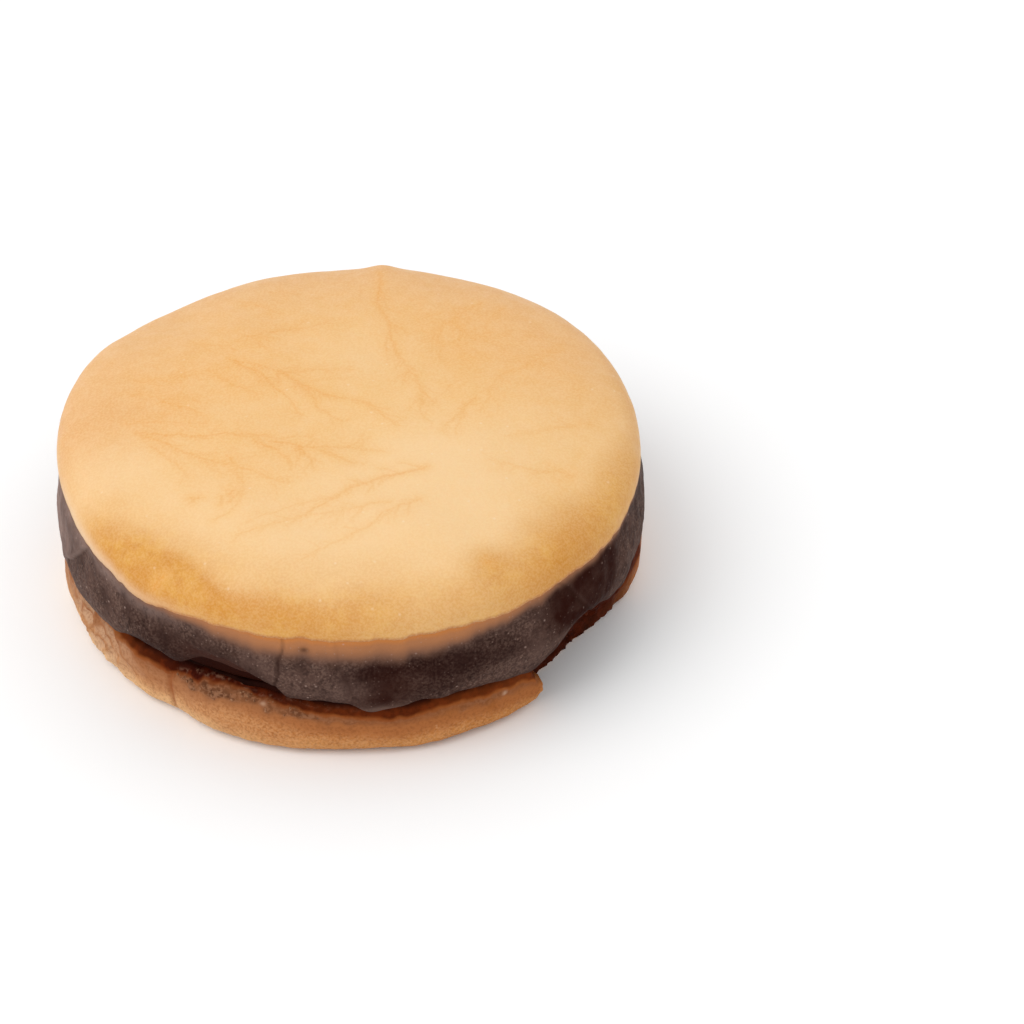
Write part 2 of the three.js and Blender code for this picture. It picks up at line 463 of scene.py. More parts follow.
# %% Profile of the filling
def filling_profile(a):
    low = lower_edge(a) + 0.13 * grain(around_rim(a, 8), 2.8, 11)
    full, lip, whole = band_radius(a), lid_radius(a), whole_wall(a)
    hang = smooth(0, 1.4, FILLING_BOTTOM + 0.3 - low)
    inner = FILLING_SHOULDER + (whole - 0.45 - FILLING_SHOULDER) * hang
    inner_height = FILLING_BOTTOM - (FILLING_BOTTOM - 7.35) * hang
    recess = smooth(0.2, 2.2, low - FILLING_BOTTOM)
    behind = np.minimum(whole + BAND_CLEARANCE, full - 0.05)
    rim = lip_height(a) + scallops(a)
    span = rim - low
    return stack([
        (INNER_RING, FILLING_BOTTOM),
        (FILLING_SHOULDER - 0.4, FILLING_BOTTOM),
        (inner + 0.5 * recess, inner_height + 0.02 + 0.15 * recess),
        (behind - 1.1 * recess - 0.28 * (1 - hang) * (1 - recess),
         low + 0.12 + 0.25 * hang - 0.5 * recess),
        (full - 0.14 - 0.45 * recess, low),
        (full + 0.14 - 0.2 * recess, low + span * 0.08),
        (full + 0.34, low + span * 0.26),
        (full + 0.24, low + span * 0.45),
        (full - 0.02, low + span * 0.64),
        (full - 0.22, low + span * 0.8),
        (lip - 0.02, rim - 0.28),
        (lip - 0.02, rim - 0.03),
        (lip - 0.5, rim + 0.03),
        (lip - 2.2, FILLING_TOP + 0.2),
        (lip - 4, FILLING_TOP),
        (INNER_RING, FILLING_TOP),
    ])


FILLING_STEPS = [3, 2, 5, 9, 7, 10, 12, 12, 12, 9, 6, 3, 4, 2, 2]
filling_rings = ring_points(finer(filling_profile(angles), FILLING_STEPS))
print("filling rows:", filling_rings.shape[1])

# %% [markdown]
# The skin of the filling has folds where the glaze ran over it while it sagged. Each fold is a
# leaning groove with one side a little higher. It could be cut with a sculpting brush. Here it
# is a step and a groove across the angle, and the line leans because its middle moves with the
# height.

# %% Folds in the skin
# (angle at mid height, lean in degrees per millimetre, width in millimetres, groove, step)
FOLDS = [
    (-154.0, 1.8, 0.30, 0.12, 0.26), (-100.8, 0.32, 0.15, 0.15, 0.03),
    (-40.7, -1.25, 0.22, 0.14, -0.05), (-89.2, -0.4, 0.13, 0.045, 0.0),
    (55.0, 0.9, 0.4, 0.28, 0.14), (121.0, -1.3, 0.35, 0.26, -0.16),
]
MID_HEIGHT = 12.5


def fold_line(points, fold):
    """Signed distance in millimetres from the line of a fold."""
    wobble = 0.5 * grain(points, 3.5, 21)
    at = fold[0] + fold[1] * (points[..., 2] - MID_HEIGHT) + wobble
    return apart(angle_of(points), at) * MM_PER_DEGREE


def fold_relief(points):
    relief = np.zeros(points.shape[:-1])
    height = smooth(8.6, 10.2, points[..., 2]) * (1 - smooth(15.2, 16.2, points[..., 2]))
    for fold in FOLDS:
        d = fold_line(points, fold)
        step = -fold[4] * np.tanh(d / 0.3) * bell(d, 2.4)
        relief += (step - fold[3] * bell(d, fold[2])) * height
    return relief


print("folds:", len(FOLDS))

# %% [markdown]
# At the front left the skin laps over itself: the glaze slid down and stopped in a long edge,
# and what is below that edge lies deeper and in shade. A second sheet of skin could be laid on
# top, but it would have to be joined at both ends. Sinking the part below the edge gives the
# same step in one closed surface.

# %% Lap in the skin
# The edge of the lap as (angle, height), and how much deeper the skin below it lies.
LAP_EDGE = [
    (-123, 13.2), (-119, 12.9), (-116, 12.65), (-113, 12.5), (-110.5, 12.35), (-108, 11.8),
    (-105.3, 10.9), (-102.5, 10.1), (-101, 9.4), (-99, 8.6),
]
LAP_DEPTH = 0.6


def below_lap(points):
    """How far points lie below the edge of the lap, in millimetres."""
    return keyed(LAP_EDGE, angle_of(points)) + 0.08 * grain(points, 1.6, 22) - points[..., 2]


def lap_share(a):
    return smooth(-122.5, -115, a) * (1 - smooth(-103, -99.5, a))


print("length of the lap: %.0f mm" % ((LAP_EDGE[-1][0] - LAP_EDGE[0][0]) * MM_PER_DEGREE))

# %% [markdown]
# Now the relief goes on: slow bulges, finer grain, upright streaks, the folds and the lap. One
# noise could stand for all of them, but a skin that has sagged shows which way it ran, and the
# streaks say that. The relief is only wanted on the outer wall, and it fades out just under the
# lid so that the rim stays tight. The widest points of the result give the middle of the cookie.

# %% Relief of the filling
def middle_of(node):
    low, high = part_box(node)
    return np.array([(low[0] + high[0]) / 2, (low[1] + high[1]) / 2, 0.0])


def on_wall(points, radius):
    return smooth(radius - 2.6, radius - 1.2, radius_of(points))


wall = on_wall(filling_rings, WALL_RADIUS)
rough = 0.07 * grain(filling_rings, 8, 31) + 0.025 * grain(filling_rings, 2.6, 32)
rough += 0.012 * grain(filling_rings, 0.9, 34)
streaks = 0.012 * grain(filling_rings * np.array([1, 1, 0.22]), 1.5, 33)
below_rim = (lip_height(angles) + scallops(angles))[:, None] - filling_rings[..., 2]
calm = smooth(0.1, 1.2, below_rim)
lap = lap_share(angles)[:, None] * smooth(-0.45, 0.75, below_lap(filling_rings))
relief = (rough + streaks + fold_relief(filling_rings) - LAP_DEPTH * lap) * wall * calm
filling_rings = pushed(filling_rings, relief)

# Every sixth angle is enough to find the widest points.
coarse = filling_rings[::6].reshape(-1, 3)
own_middle = (coarse.max(axis=0) + coarse.min(axis=0)) / 2 * np.array([1, 1, 0])
centre = middle_of("filling") - own_middle * MM
print("middle of the cookie (mm):", np.round(centre / MM, 3))

# %% [markdown]
# ### Masks of the filling
#
# The glaze is thick just under the lid, where it bridges the joint. There it hides the dark
# filling under a tan colour, which thins out downwards. A gradient texture could do that, but
# its width would be the same everywhere. `TAN_REACH` says how far down the tan goes at a few
# angles, and `TAN_STRENGTH` how much it hides.

# %% Where the glaze is thick
TAN_REACH = [
    (-180, 1.2), (-150, 1.2), (-125, 1.2), (-116, 1.8), (-110, 2.5), (-102, 2.9), (-99, 3.2),
    (-88, 3.5), (-79, 3.5), (-71, 3.2), (-66, 2.6), (-60, 1.9), (-50, 1.5), (-44, 1.2), (-10, 0.6),
    (20, 1.8), (66, 2.6), (100, 2.4), (125, 1.2), (150, 1.4),
]
TAN_STRENGTH = [
    (-180, 0.40), (-150, 0.3), (-130, 0.3), (-124, 0.45), (-116, 0.66), (-110, 0.84), (-104, 0.97),
    (-68, 1.0), (-62, 0.85), (-54, 0.62), (-46, 0.5), (-10, 0.5), (20, 1.0), (100, 1.0), (125, 0.6),
    (150, 0.8),
]

reach = np.maximum(by_angle(TAN_REACH) + 0.18 * grain(filling_rings, 2.4, 41), 0.1)
tan_glaze = (1 - np.clip(below_rim / reach, 0, 1)) * by_angle(TAN_STRENGTH)
print("tan share of the filling: %.2f" % (tan_glaze > 0.5).mean())

# %% [markdown]
# The bare skin is blotchy, because the glaze dried unevenly on it: dull dark spots, wine-red
# spots where the caramel shines through, grey spots of dried sugar, pale rims and a few dark
# dots. The large, nearly black wine-red spots at the front right are partly painted shade. Noise
# alone would scatter them evenly. They are placed one by one, as on the real piece, and the
# materials add the fine noise inside them.

# %% Patches on the skin
# (angle, height, half width, half height, strength), sizes in millimetres
DULL_SPOTS = [
    (-65, 11.9, 2.6, 1.4, 1.0), (-73, 12.6, 1.8, 1.0, 0.7), (-126, 12.6, 3.0, 1.6, 0.5),
    (-84, 11.8, 2.2, 0.9, 0.8), (-72, 10.0, 2.4, 2.0, 0.6), (-82, 12.4, 2.0, 0.9, 0.6),
    (-56, 11.2, 1.4, 0.8, 0.5), (-121, 10.8, 2.4, 1.2, 0.6), (10, 11.5, 5.0, 2.0, 0.8),
    (80, 12.0, 6.0, 1.6, 0.7), (135, 11.0, 4.0, 2.0, 0.7),
]
# Wine-red spots; those from -46 to -33 degrees are also painted shade.
RED_SPOTS = [
    (-80, 10.0, 2.4, 1.9, 0.8), (-84, 8.2, 1.6, 0.9, 0.5), (-40.5, 13.0, 2.6, 3.4, 1.0),
    (-36, 13.2, 3.0, 3.4, 1.0), (-46, 13.8, 2.0, 1.8, 0.75), (-33, 14.5, 3.0, 1.6, 0.5),
    (40, 10.0, 4.0, 1.8, 0.7), (112, 10.0, 3.0, 1.5, 0.6),
]
# The grey spot at -160 degrees is partly painted sheen, like the pale bloom at the far left.
GREY_SPOTS = [
    (-54, 9.4, 2.4, 1.8, 0.8), (-87, 11.0, 2.4, 1.6, 0.6), (-50, 13.6, 2.4, 0.9, 0.5),
    (-139, 14.2, 7.0, 1.0, 0.6), (-144, 9.6, 3.0, 0.8, 0.4), (-95, 10.8, 3.0, 1.8, 0.1),
    (-88.5, 9.4, 1.8, 1.3, 0.8), (-31, 10.0, 1.4, 0.8, 0.9), (-121.5, 14.2, 0.35, 0.35, 0.7),
    (-160, 9.6, 3.0, 2.0, 0.8), (-104, 12.2, 2.2, 1.3, 0.5), (-76, 8.4, 2.4, 0.6, 0.4),
    (30, 12.0, 5.0, 2.4, 0.7), (95, 11.0, 4.0, 2.0, 0.7), (155, 12.0, 6.0, 2.2, 0.8),
]
DARK_DOTS = [(-96, 15.0, 0.3, 0.25, 0.9), (-91, 13.1, 0.4, 0.3, 0.8), (-109, 13.4, 0.25, 0.2, 0.7)]
PALE_RIMS = [
    (-83, 7.0, 2.2, 0.4, 0.9), (-42, 9.6, 3.5, 0.4, 0.5), (-143, 8.9, 3.0, 0.4, 0.7),
    (-156, 7.2, 3.0, 0.5, 1.0),
]
# How strongly the small dark patches show, by angle.
MOTTLED = [
    (-180, 0.2), (-105, 0.45), (-97, 0.75), (-90, 0.8), (-60, 1.0), (-40, 0.6), (0, 0.6),
    (120, 0.6),
]

print("patches:", sum(len(spots) for spots in (DULL_SPOTS, RED_SPOTS, GREY_SPOTS, PALE_RIMS)))

# %% [markdown]
# At its lower edge the filling is thin and dark, and that dark rim is partly painted shade under
# the overhang. Where it draws back from the biscuit, the part below the edge lies in a hollow,
# which is painted nearly black as shade. A gradient by height would be the short way, but the edge
# wanders up and down. So both are counted from the edge itself: `above_edge` is the height over
# it, and `EDGE_SHADE` and `EDGE_REACH` say how dark the rim is and how far up that goes.

# %% Thin lower edge and its painted shade
EDGE_SHADE = [
    (-150, 0.2), (-138, 0.4), (-130, 0.9), (-112, 1.0), (-103, 0.8), (-97, 0.4), (-60, 0.35),
    (-30, 0.5), (0, 0.3),
]
EDGE_REACH = [(-150, 1.0), (-136, 1.5), (-126, 2.2), (-110, 2.0), (-101, 1.0)]

above_edge = filling_rings[..., 2] - lower_edge(angles)[:, None]
drawn_back = smooth(0.4, 1.6, lower_edge(angles) - FILLING_BOTTOM)[:, None]
# Dark lower rim: partly thin caramel, partly painted shade under the overhang.
thin_edge_and_shade = (1 - smooth(0.1, 0.9, above_edge / by_angle(EDGE_REACH))) * by_angle(EDGE_SHADE)
print("lowest drip: %.1f mm" % lower_edge(angles).min())

# %% [markdown]
# The shade in the folds and under the lap is painted as well, and a light line beside two of the
# folds. The lamps alone could do it, but soft studio light flattens small steps. At the far left
# the glaze dried white, and that pale bloom is partly painted sheen, where the glaze catches the
# light at a grazing angle. It ends at the first fold, so it is counted from the same line. A
# second part, a painted highlight, lies along the lip at the left.

# %% Shade of the folds and of the lap
fold_gaps = [fold_line(filling_rings, fold) for fold in FOLDS]
# Pale bloom at the far left, partly painted sheen; the second part is a painted highlight by the
# lip.
left_bloom = smooth(0.2, -0.15, fold_gaps[0]) * swell_column([(-172, 16, 1.0)])
left_bloom += swell_column([(-140, 13, 0.75)]) * (1 - smooth(0.5, 2.2, below_rim)) * wall
fold_shade = sum(
    min(fold[3] / 0.14, 1) * bell(gap, 0.2) for fold, gap in zip(FOLDS[1:], fold_gaps[1:])
)
fold_lit = bell(fold_gaps[0] + 0.25, 0.25) + 0.10 * bell(fold_gaps[2] - 0.42, 0.2)
fold_height = smooth(8.4, 10.0, filling_rings[..., 2])
lap_gap = below_lap(filling_rings)
lap_shade = smooth(-0.55, 0.5, lap_gap) * smooth(-124, -113, angles)[:, None]
lap_near = smooth(-1.9, -0.2, lap_gap) * lap_share(angles)[:, None]
print("share of bloom: %.2f" % (left_bloom > 0.5).mean())

# %% [markdown]
# All masks of the filling get a name, by which the material reads them. They could be mixed into
# one colour for each point here. They are kept apart, because the material can then give each its
# own tone and grain.

# %% Masks and mesh of the filling
filling_masks = {
    "tan_glaze": tan_glaze,
    # painted shade along the lower edge and above the lap
    "thin_edge_and_shade": np.maximum(thin_edge_and_shade, 0.5 * lap_near),
    "pale_rim": blotches(filling_rings, PALE_RIMS),
    # far-left bloom, partly painted sheen and highlight
    "bloom": np.clip(left_bloom, 0, 1),
    "fold": np.clip(fold_shade * fold_height, 0, 1),
    "fold_lit": np.clip(fold_lit * fold_height, 0, 1),
    # painted shade in the hollow under a drawn-back edge
    "under_edge": drawn_back * (1 - smooth(-0.4, 0.15, above_edge)),
    "lap_shade": lap_shade * (1 - smooth(-103, -99, angles)[:, None]),
    "dull": blotches(filling_rings, DULL_SPOTS),
    "reddish": blotches(filling_rings, RED_SPOTS),
    "greyish": blotches(filling_rings, GREY_SPOTS),
    "dark_dots": blotches(filling_rings, DARK_DOTS),
    "mottled": by_angle(MOTTLED) + 0 * below_rim,
}
filling_piece = ring_mesh("caramel_band", filling_rings, FILLING_BOTTOM, FILLING_TOP, filling_masks)

# %% [markdown]
# ## The bottom biscuit
#
# A flat disc of baked dough with round edges. At the front right a piece of its edge has broken
# off, which shows the crumb. The wall is a little lumpy under its glaze, and the flat foot is
# what the cookie stands on. The break could be cut out with a Boolean modifier, which leaves
# clean edges that dough doesn't have. So the profile itself draws back there, and the torn face
# stays one with the rest of the mesh.

# %% Profile of the bottom biscuit
def base_profile(a):
    def edge(height):
        return whole_wall(a) - BREAK_DEPTH * break_share(a, height)

    foot = np.minimum(FOOT_RADIUS, edge(0.0) - 0.5)
    return stack([
        (1.0, 0), (foot * 0.5, 0), (foot, 0),
        (foot + (edge(0.25) - foot) * 0.6, 0.2),
        (foot + (edge(0.8) - foot) * 0.87, 0.8),
        (edge(1.8) - 0.1, 1.8), (edge(3.0), 3.0), (edge(4.1), 4.1), (edge(5.1) - 0.08, 5.1),
        (edge(6.1) - 0.3, 6.1), (edge(6.9) - 0.8, 6.9), (edge(7.4) - 1.6, 7.4),
        (edge(BASE_TOP) - 2.7, BASE_TOP), (INNER_RING, BASE_TOP),
    ])


BASE_STEPS = [8, 10, 5, 5, 7, 8, 8, 8, 8, 8, 8, 8, 3]
base_rings = ring_points(finer(base_profile(angles), BASE_STEPS))
print("bottom biscuit rows:", base_rings.shape[1])

# %% [markdown]
# A seam runs round the left shoulder and turns down the wall: there the glaze folded over while
# it was wet. The seam is a low ridge with a groove below it. Where the filling draws back, the
# top of the biscuit is a rough crust with small pebbles of dough, and a line of grey crumbs lies
# at the joint. These bands could be painted. As lines through (angle, height) points they steer
# the relief and the colour together.

# %% Lines on the wall of the bottom biscuit
SEAM = [(-124.8, 7.1), (-125.2, 6.3), (-126.2, 5.0), (-125.9, 3.2), (-125.6, 1.0)]
SHOULDER_SEAM = [(-150, 6.3), (-143, 6.2), (-137, 6.1), (-130, 5.9), (-127, 5.6)]
# The rough crust lies between CRUST_LOW and STAIN_FOOT, and a line of grey crumbs at CRUMB_LINE.
CRUST_SHARE = [
    (-127, 0.0), (-123, 0.85), (-112, 1.0), (-101, 0.8), (-93, 0.45), (-85, 0.2), (-70, 0.15),
    (-61, 0.45), (-55, 0.1), (40, 0.2), (60, 0.9), (80, 0.5), (100, 0.7), (130, 0.2), (150, 0.8),
    (175, 0.1),
]
CRUST_LOW = [
    (-180, 6.2), (-124, 5.9), (-120, 5.4), (-115, 5.6), (-110, 6.1), (-107, 6.1), (-102, 5.5),
    (-97, 5.1), (-92, 4.9), (-85, 4.7), (-60, 4.3), (-50, 4.0), (0, 5.0), (60, 5.6), (120, 5.6),
]
CRUMB_LINE = [
    (-128, 6.6), (-124, 6.8), (-118, 7.7), (-114, 7.95), (-111, 8.0), (-105.5, 7.3), (-102, 7.25),
    (-97, 7.0), (-90, 6.6), (-80, 6.4), (60, 7.4), (150, 7.4),
]
CRUMB_SHARE = [
    (-126, 0.0), (-123, 0.9), (-110, 1.0), (-103, 0.5), (-97, 0.4), (-88, 0.2), (-78, 0.0),
    (50, 0.0), (100, 0.6), (170, 0.0),
]
STAIN_FOOT = [
    (-160, 6.5), (-149.5, 6.75), (-140, 6.5), (-136, 6.2), (-131, 6.0), (-127, 5.8), (-124, 6.1),
    (-120.7, 6.4), (-117, 6.9), (-114.5, 7.3), (-108.5, 7.25), (-106.8, 7.0), (-100.5, 6.3),
    (-97, 6.05), (-92, 5.75), (-86.5, 5.4), (-79, 5.05), (-71.5, 5.5), (-63, 5.2), (-54, 4.75),
    (-50, 3.9), (-44, 2.0), (-20, 1.4), (-8, 4.2), (4, 5.6), (60, 6.9), (100, 6.3), (150, 6.5),
]

print("lowest stain: %.1f mm" % min(level for _, level in STAIN_FOOT))

# %% [markdown]
# The shoulder of the biscuit curves inwards, so height alone would squeeze a band together
# there. `climb_of` measures the way up along the surface instead. On the wall it is equal to
# the height, and further up it keeps growing.

# %% Way up the surface
def climb_of(rings, level):
    """Way up the surface at each angle in millimetres, equal to the height where that is level."""
    steps = np.linalg.norm(np.diff(rings, axis=1), axis=2)
    way = np.concatenate([np.zeros((len(rings), 1)), np.cumsum(steps, axis=1)], axis=1)
    row = int(np.argmin(np.abs(rings[0, :, 2] - level)))
    return way - way[:, row:row + 1] + rings[:, row:row + 1, 2]


height = base_rings[..., 2]
side = smooth(27.5, 30.0, radius_of(base_rings)) * smooth(0.0, 0.9, height)
broken = break_share(angles[:, None], height) * smooth(25.5, 27.5, radius_of(base_rings))
climb = climb_of(base_rings, 4.1)
uneven = 0.12 * grain(base_rings, 2.2, 44) + 0.05 * grain(base_rings, 0.9, 45)
rise = climb - by_angle(STAIN_FOOT) - uneven
print("way up to the top: %.1f mm" % climb[0, -1])

# %% [markdown]
# The crust is a band with ragged borders, and the line of crumbs comes and goes along its way. A
# band with straight borders would look like a stripe, so grain shifts them. Both are shares from
# 0 to 1, which steer how far the pebbles stand out and how grey they are.

# %% Crust and crumb line
above_low = climb - by_angle(CRUST_LOW) + 0.25 * grain(base_rings, 1.4, 48)
crust_band = smooth(-0.3, 0.35, above_low) * (1 - smooth(-0.1, 0.35, rise))
crust_band *= by_angle(CRUST_SHARE)
crust = np.clip(crust_band * (0.9 + 0.4 * grain(base_rings, 1.5, 47)), 0, 1)
off_line = climb - by_angle(CRUMB_LINE) + 0.14 * grain(base_rings, 0.9, 49)
crumb_line = bell(off_line, 0.2) * by_angle(CRUMB_SHARE)
crumb_line *= smooth(-0.9, 0.5, grain(base_rings, 0.7, 50))
print("crust share: %.3f" % (crust > 0.5).mean())

# %% [markdown]
# The relief has five parts: slow lumps in the whole wall, the seams, creased facets at the left
# end where the glaze shrank, the pebbles, and the torn crumb of the break. The facets come from
# the absolute value of `grain`, which has sharp creases where the grain changes its sign. All
# of it is real shape, because a bump in the material alone would leave the outline smooth.

# %% Relief of the bottom biscuit
lumps = 0.12 * grain(base_rings, 7, 51) + 0.05 * grain(base_rings, 2.6, 52)
lumps += 0.018 * grain(base_rings, 1.2, 53)
seam_gap = to_path(base_rings, SEAM)
seam_relief = 0.07 * bell(to_path(base_rings, SHOULDER_SEAM), 0.35) - 0.26 * bell(seam_gap, 0.3)
left_end = swell_column([(-150, 9, 1.0)])
facet_grain = grain(base_rings, 3.0, 57)
facets = (0.1 * crumble(base_rings, 2.4, 59) - 0.3 * np.abs(facet_grain)) * left_end
pebbles = 0.11 * crumble(base_rings, 1.2, 54) + 0.07 * crumble(base_rings, 0.6, 58) + 0.12
torn = 0.20 * crumble(base_rings, 2.4, 55) + 0.10 * crumble(base_rings, 1.2, 56)
relief = (lumps + seam_relief + facets) * side + pebbles * np.maximum(crust, crumb_line)
relief = relief * (1 - broken) + torn * broken * smooth(0.0, 0.5, height)
base_rings = pushed(base_rings, relief)
base_rings[..., 2] = np.maximum(base_rings[..., 2], 0.0)
print("deepest pebble pit: %.2f mm" % -(pebbles * crust).min())

# %% [markdown]
# Syrup has soaked into the shoulder of the biscuit below the band. It is nearly black in the
# joint and fades downwards through red-brown to the colour of the dough. The near-black in the
# joint is partly syrup and partly painted shade under the band. One stained band could be painted
# evenly all round, but the stain follows the drips above it. `STAIN_FOOT` is how far down it
# reaches, measured along the surface, and the depth of the stain how thick and how dark it is,
# from syrup and from painted shade: where it is thin it stays amber. The warm side is where the
# dough is more golden and darker, partly by its own tone and partly by painted shade away from
# the lamps.

# %% Tones of the bottom biscuit
# How dark the stain is by angle: syrup, and painted shade in the joint below the hollows.
STAIN_AND_SHADE_DEPTH = [
    (-160, 0.2), (-143, 0.3), (-138, 0.65), (-128, 0.9), (-122, 1.0), (-108, 1.0), (-100, 0.9),
    (-92, 0.75), (-84, 0.8), (-78, 0.8), (-68, 0.6), (-52, 0.5), (-46, 0.8), (-10, 0.8), (60, 0.8),
    (120, 0.4),
]
# Warmer and darker dough to the right: partly its own tone, partly painted shade away from the
# lamps.
WARM_AND_SHADED_SIDE = [
    (-180, 0.1), (-150, 0.0), (-132, 0.3), (-122, 0.25), (-108, 0.6), (-95, 0.85), (-60, 1.0),
    (-20, 1.0), (60, 0.6), (130, 0.4),
]
CHIPS = [(-58, 4.7, 0.2, 0.14, 0.8), (-105, 6.3, 0.22, 0.15, 0.6)]
STREAKS = [(-61, 4.2, 0.5, 1.1, 0.9), (-70, 4.6, 1.5, 0.4, 0.5)]

height = base_rings[..., 2]
radius = radius_of(base_rings)
foot = 1 - smooth(0.8, 3.4, height + 0.4 * grain(base_rings, 4, 46))
right_end = smooth(-40, -31, angles) * (1 - smooth(-20, -7, angles))
print("golden share of the wall: %.2f" % (foot > 0.5).mean())

# %% [markdown]
# The masks get their names. The broken spot fades out to the right, where the stain covers the
# whole wall: that is `right_end`, whose dark maroon is partly syrup and partly painted shade under
# the band. Chips and streaks are single marks, pale flakes of glaze and brown runs of syrup. The
# creases and the pale facets could have a noise of their own, but they come from the same grain
# as their relief, so that colour and shape agree. The creases are painted shade, and the pale
# facets are partly paler glaze and partly painted highlight.

# %% Masks and mesh of the bottom biscuit
base_masks = {
    "broken": broken,
    # Darker towards the top of the break: partly soaked, partly painted shade under the band.
    "broken_top": smooth(2.0, 5.5, height),
    "stain_rise": np.clip(rise, -6, 3),
    # depth of the stain, partly painted shade
    "stain_and_shade_depth": by_angle(STAIN_AND_SHADE_DEPTH) + 0 * height,
    # warm side, partly painted shade
    "warm_and_shaded_side": by_angle(WARM_AND_SHADED_SIDE) + 0 * height,
    "foot_gold": foot * smooth(26.5, 29, radius),
    "crust": crust,
    "crumb_line": crumb_line,
    "round_crust": smooth(-1.1, 0.4, above_low) * by_angle(CRUST_SHARE),
    # Maroon right end: partly syrup, partly painted shade under the band.
    "right_end": right_end[:, None] + 0 * height,
    # Creases at the left end, painted darker as shade.
    "crease": bell(facet_grain, 0.14) * left_end * smooth(1.0, 2.5, height),
    # Pale facets: partly paler glaze, partly painted highlight.
    "pale_facet": smooth(0.1, 0.7, np.abs(facet_grain)) * left_end,
    # Seam: darker orange-brown, partly glaze folded over, partly painted shade in its groove.
    "seam": bell(seam_gap, 0.35) * (1 - 0.5 * smooth(2.0, 0.5, height)),
    "chip": blotches(base_rings, CHIPS),
    "streak": blotches(base_rings, STREAKS),
    "underside": 1 - smooth(0.02, 0.3, height),
}
base_piece = ring_mesh("baked_base", base_rings, 0.0, BASE_TOP, base_masks)

# %% [markdown]
# ## The lid
#
# The lid is a low dome with a thin lip. It could be a flattened sphere, but a baked dome is
# flatter on top and steeper at its rim, and `DOME_POWER` bends the profile that way. The rows
# are spread evenly along the dome, so that the fine veins painted on it later are equally sharp
# everywhere.

# %% Dome steps of equal length
DOME_ROWS = 172
CROWN_END = 0.985


def dome_curve(t):
    """Share of the radius and share of the rise along the dome, from its rim to its crown."""
    return np.cos(t) ** (2 / DOME_POWER), np.sin(t) ** (2 / DOME_POWER)


def dome_steps(rows):
    t = np.linspace(0, np.pi / 2, 4000)
    across, up = dome_curve(t)
    lengths = np.hypot(np.diff(across) * LID_RADIUS, np.diff(up) * DOME_RISE)
    path = np.concatenate([[0], np.cumsum(lengths)])
    return np.interp(np.linspace(0, path[-1] * CROWN_END, rows), path, t)


print("last step of the dome: %.2f of a quarter turn" % (dome_steps(DOME_ROWS)[-1] / (np.pi / 2)))

# %% [markdown]
# The dough rose unevenly, so the dome has a few wide swells and one small peak at the back of
# its rim. They could be lifted by hand in the finished mesh. Here they are added to the profile
# at every angle, and fade out at the lip, which lies on the filling and keeps its own wavy height.

# %% Profile of the lid
def soft_spots(x, y, spots):
    """Sum of soft round spots, each (x, y, width, strength)."""
    return sum(
        strength * np.exp(-0.5 * ((x - spot_x) ** 2 + (y - spot_y) ** 2) / width**2)
        for spot_x, spot_y, width, strength in spots
    )


def crown_swell(a, r):
    return soft_spots(r * np.cos(np.radians(a)), r * np.sin(np.radians(a)), CROWN_SWELLS)


def lid_profile(a, steps):
    lip, height = lid_radius(a), lip_height(a) + scallops(a)
    rows = [
        (INNER_RING, LID_BOTTOM), (lip - 3.9, LID_BOTTOM), (lip - 1.9, LID_BOTTOM + 0.17),
        (lip - 0.6, height - 0.22), (lip - 0.1, height - 0.1), (lip - 0.02, height - 0.03),
    ]
    for t in steps:
        across, up = dome_curve(t)
        r = lip * across
        wavy = (lip_height(a) - LIP_HEIGHT) * (1 - up) ** 1.5
        rim = LIP_HEIGHT + wavy + scallops(a) * bell(up * DOME_RISE, 1.1)
        rows.append((r, rim + DOME_RISE * up + crown_swell(a, r) * smooth(0, 0.35, up)))
    return stack(rows)


lid_rings = ring_points(lid_profile(angles, dome_steps(DOME_ROWS)))
crown_height = LIP_HEIGHT + DOME_RISE + float(crown_swell(0.0, 0.0))
print("lid rows:", lid_rings.shape[1], "crown at %.2f mm" % crown_height)

# %% [markdown]
# ### Veins under the glaze
#
# When the glaze dries, moisture leaves through the thinnest paths and draws faint orange veins,
# like frost on a window. Most of them start near the rim and fan out towards a pale meeting
# point on the crown. A crack texture would cover the dome evenly. Each vein is drawn here as a
# plant grows: it wanders along a few waypoints, and side shoots leave it at sharp angles.

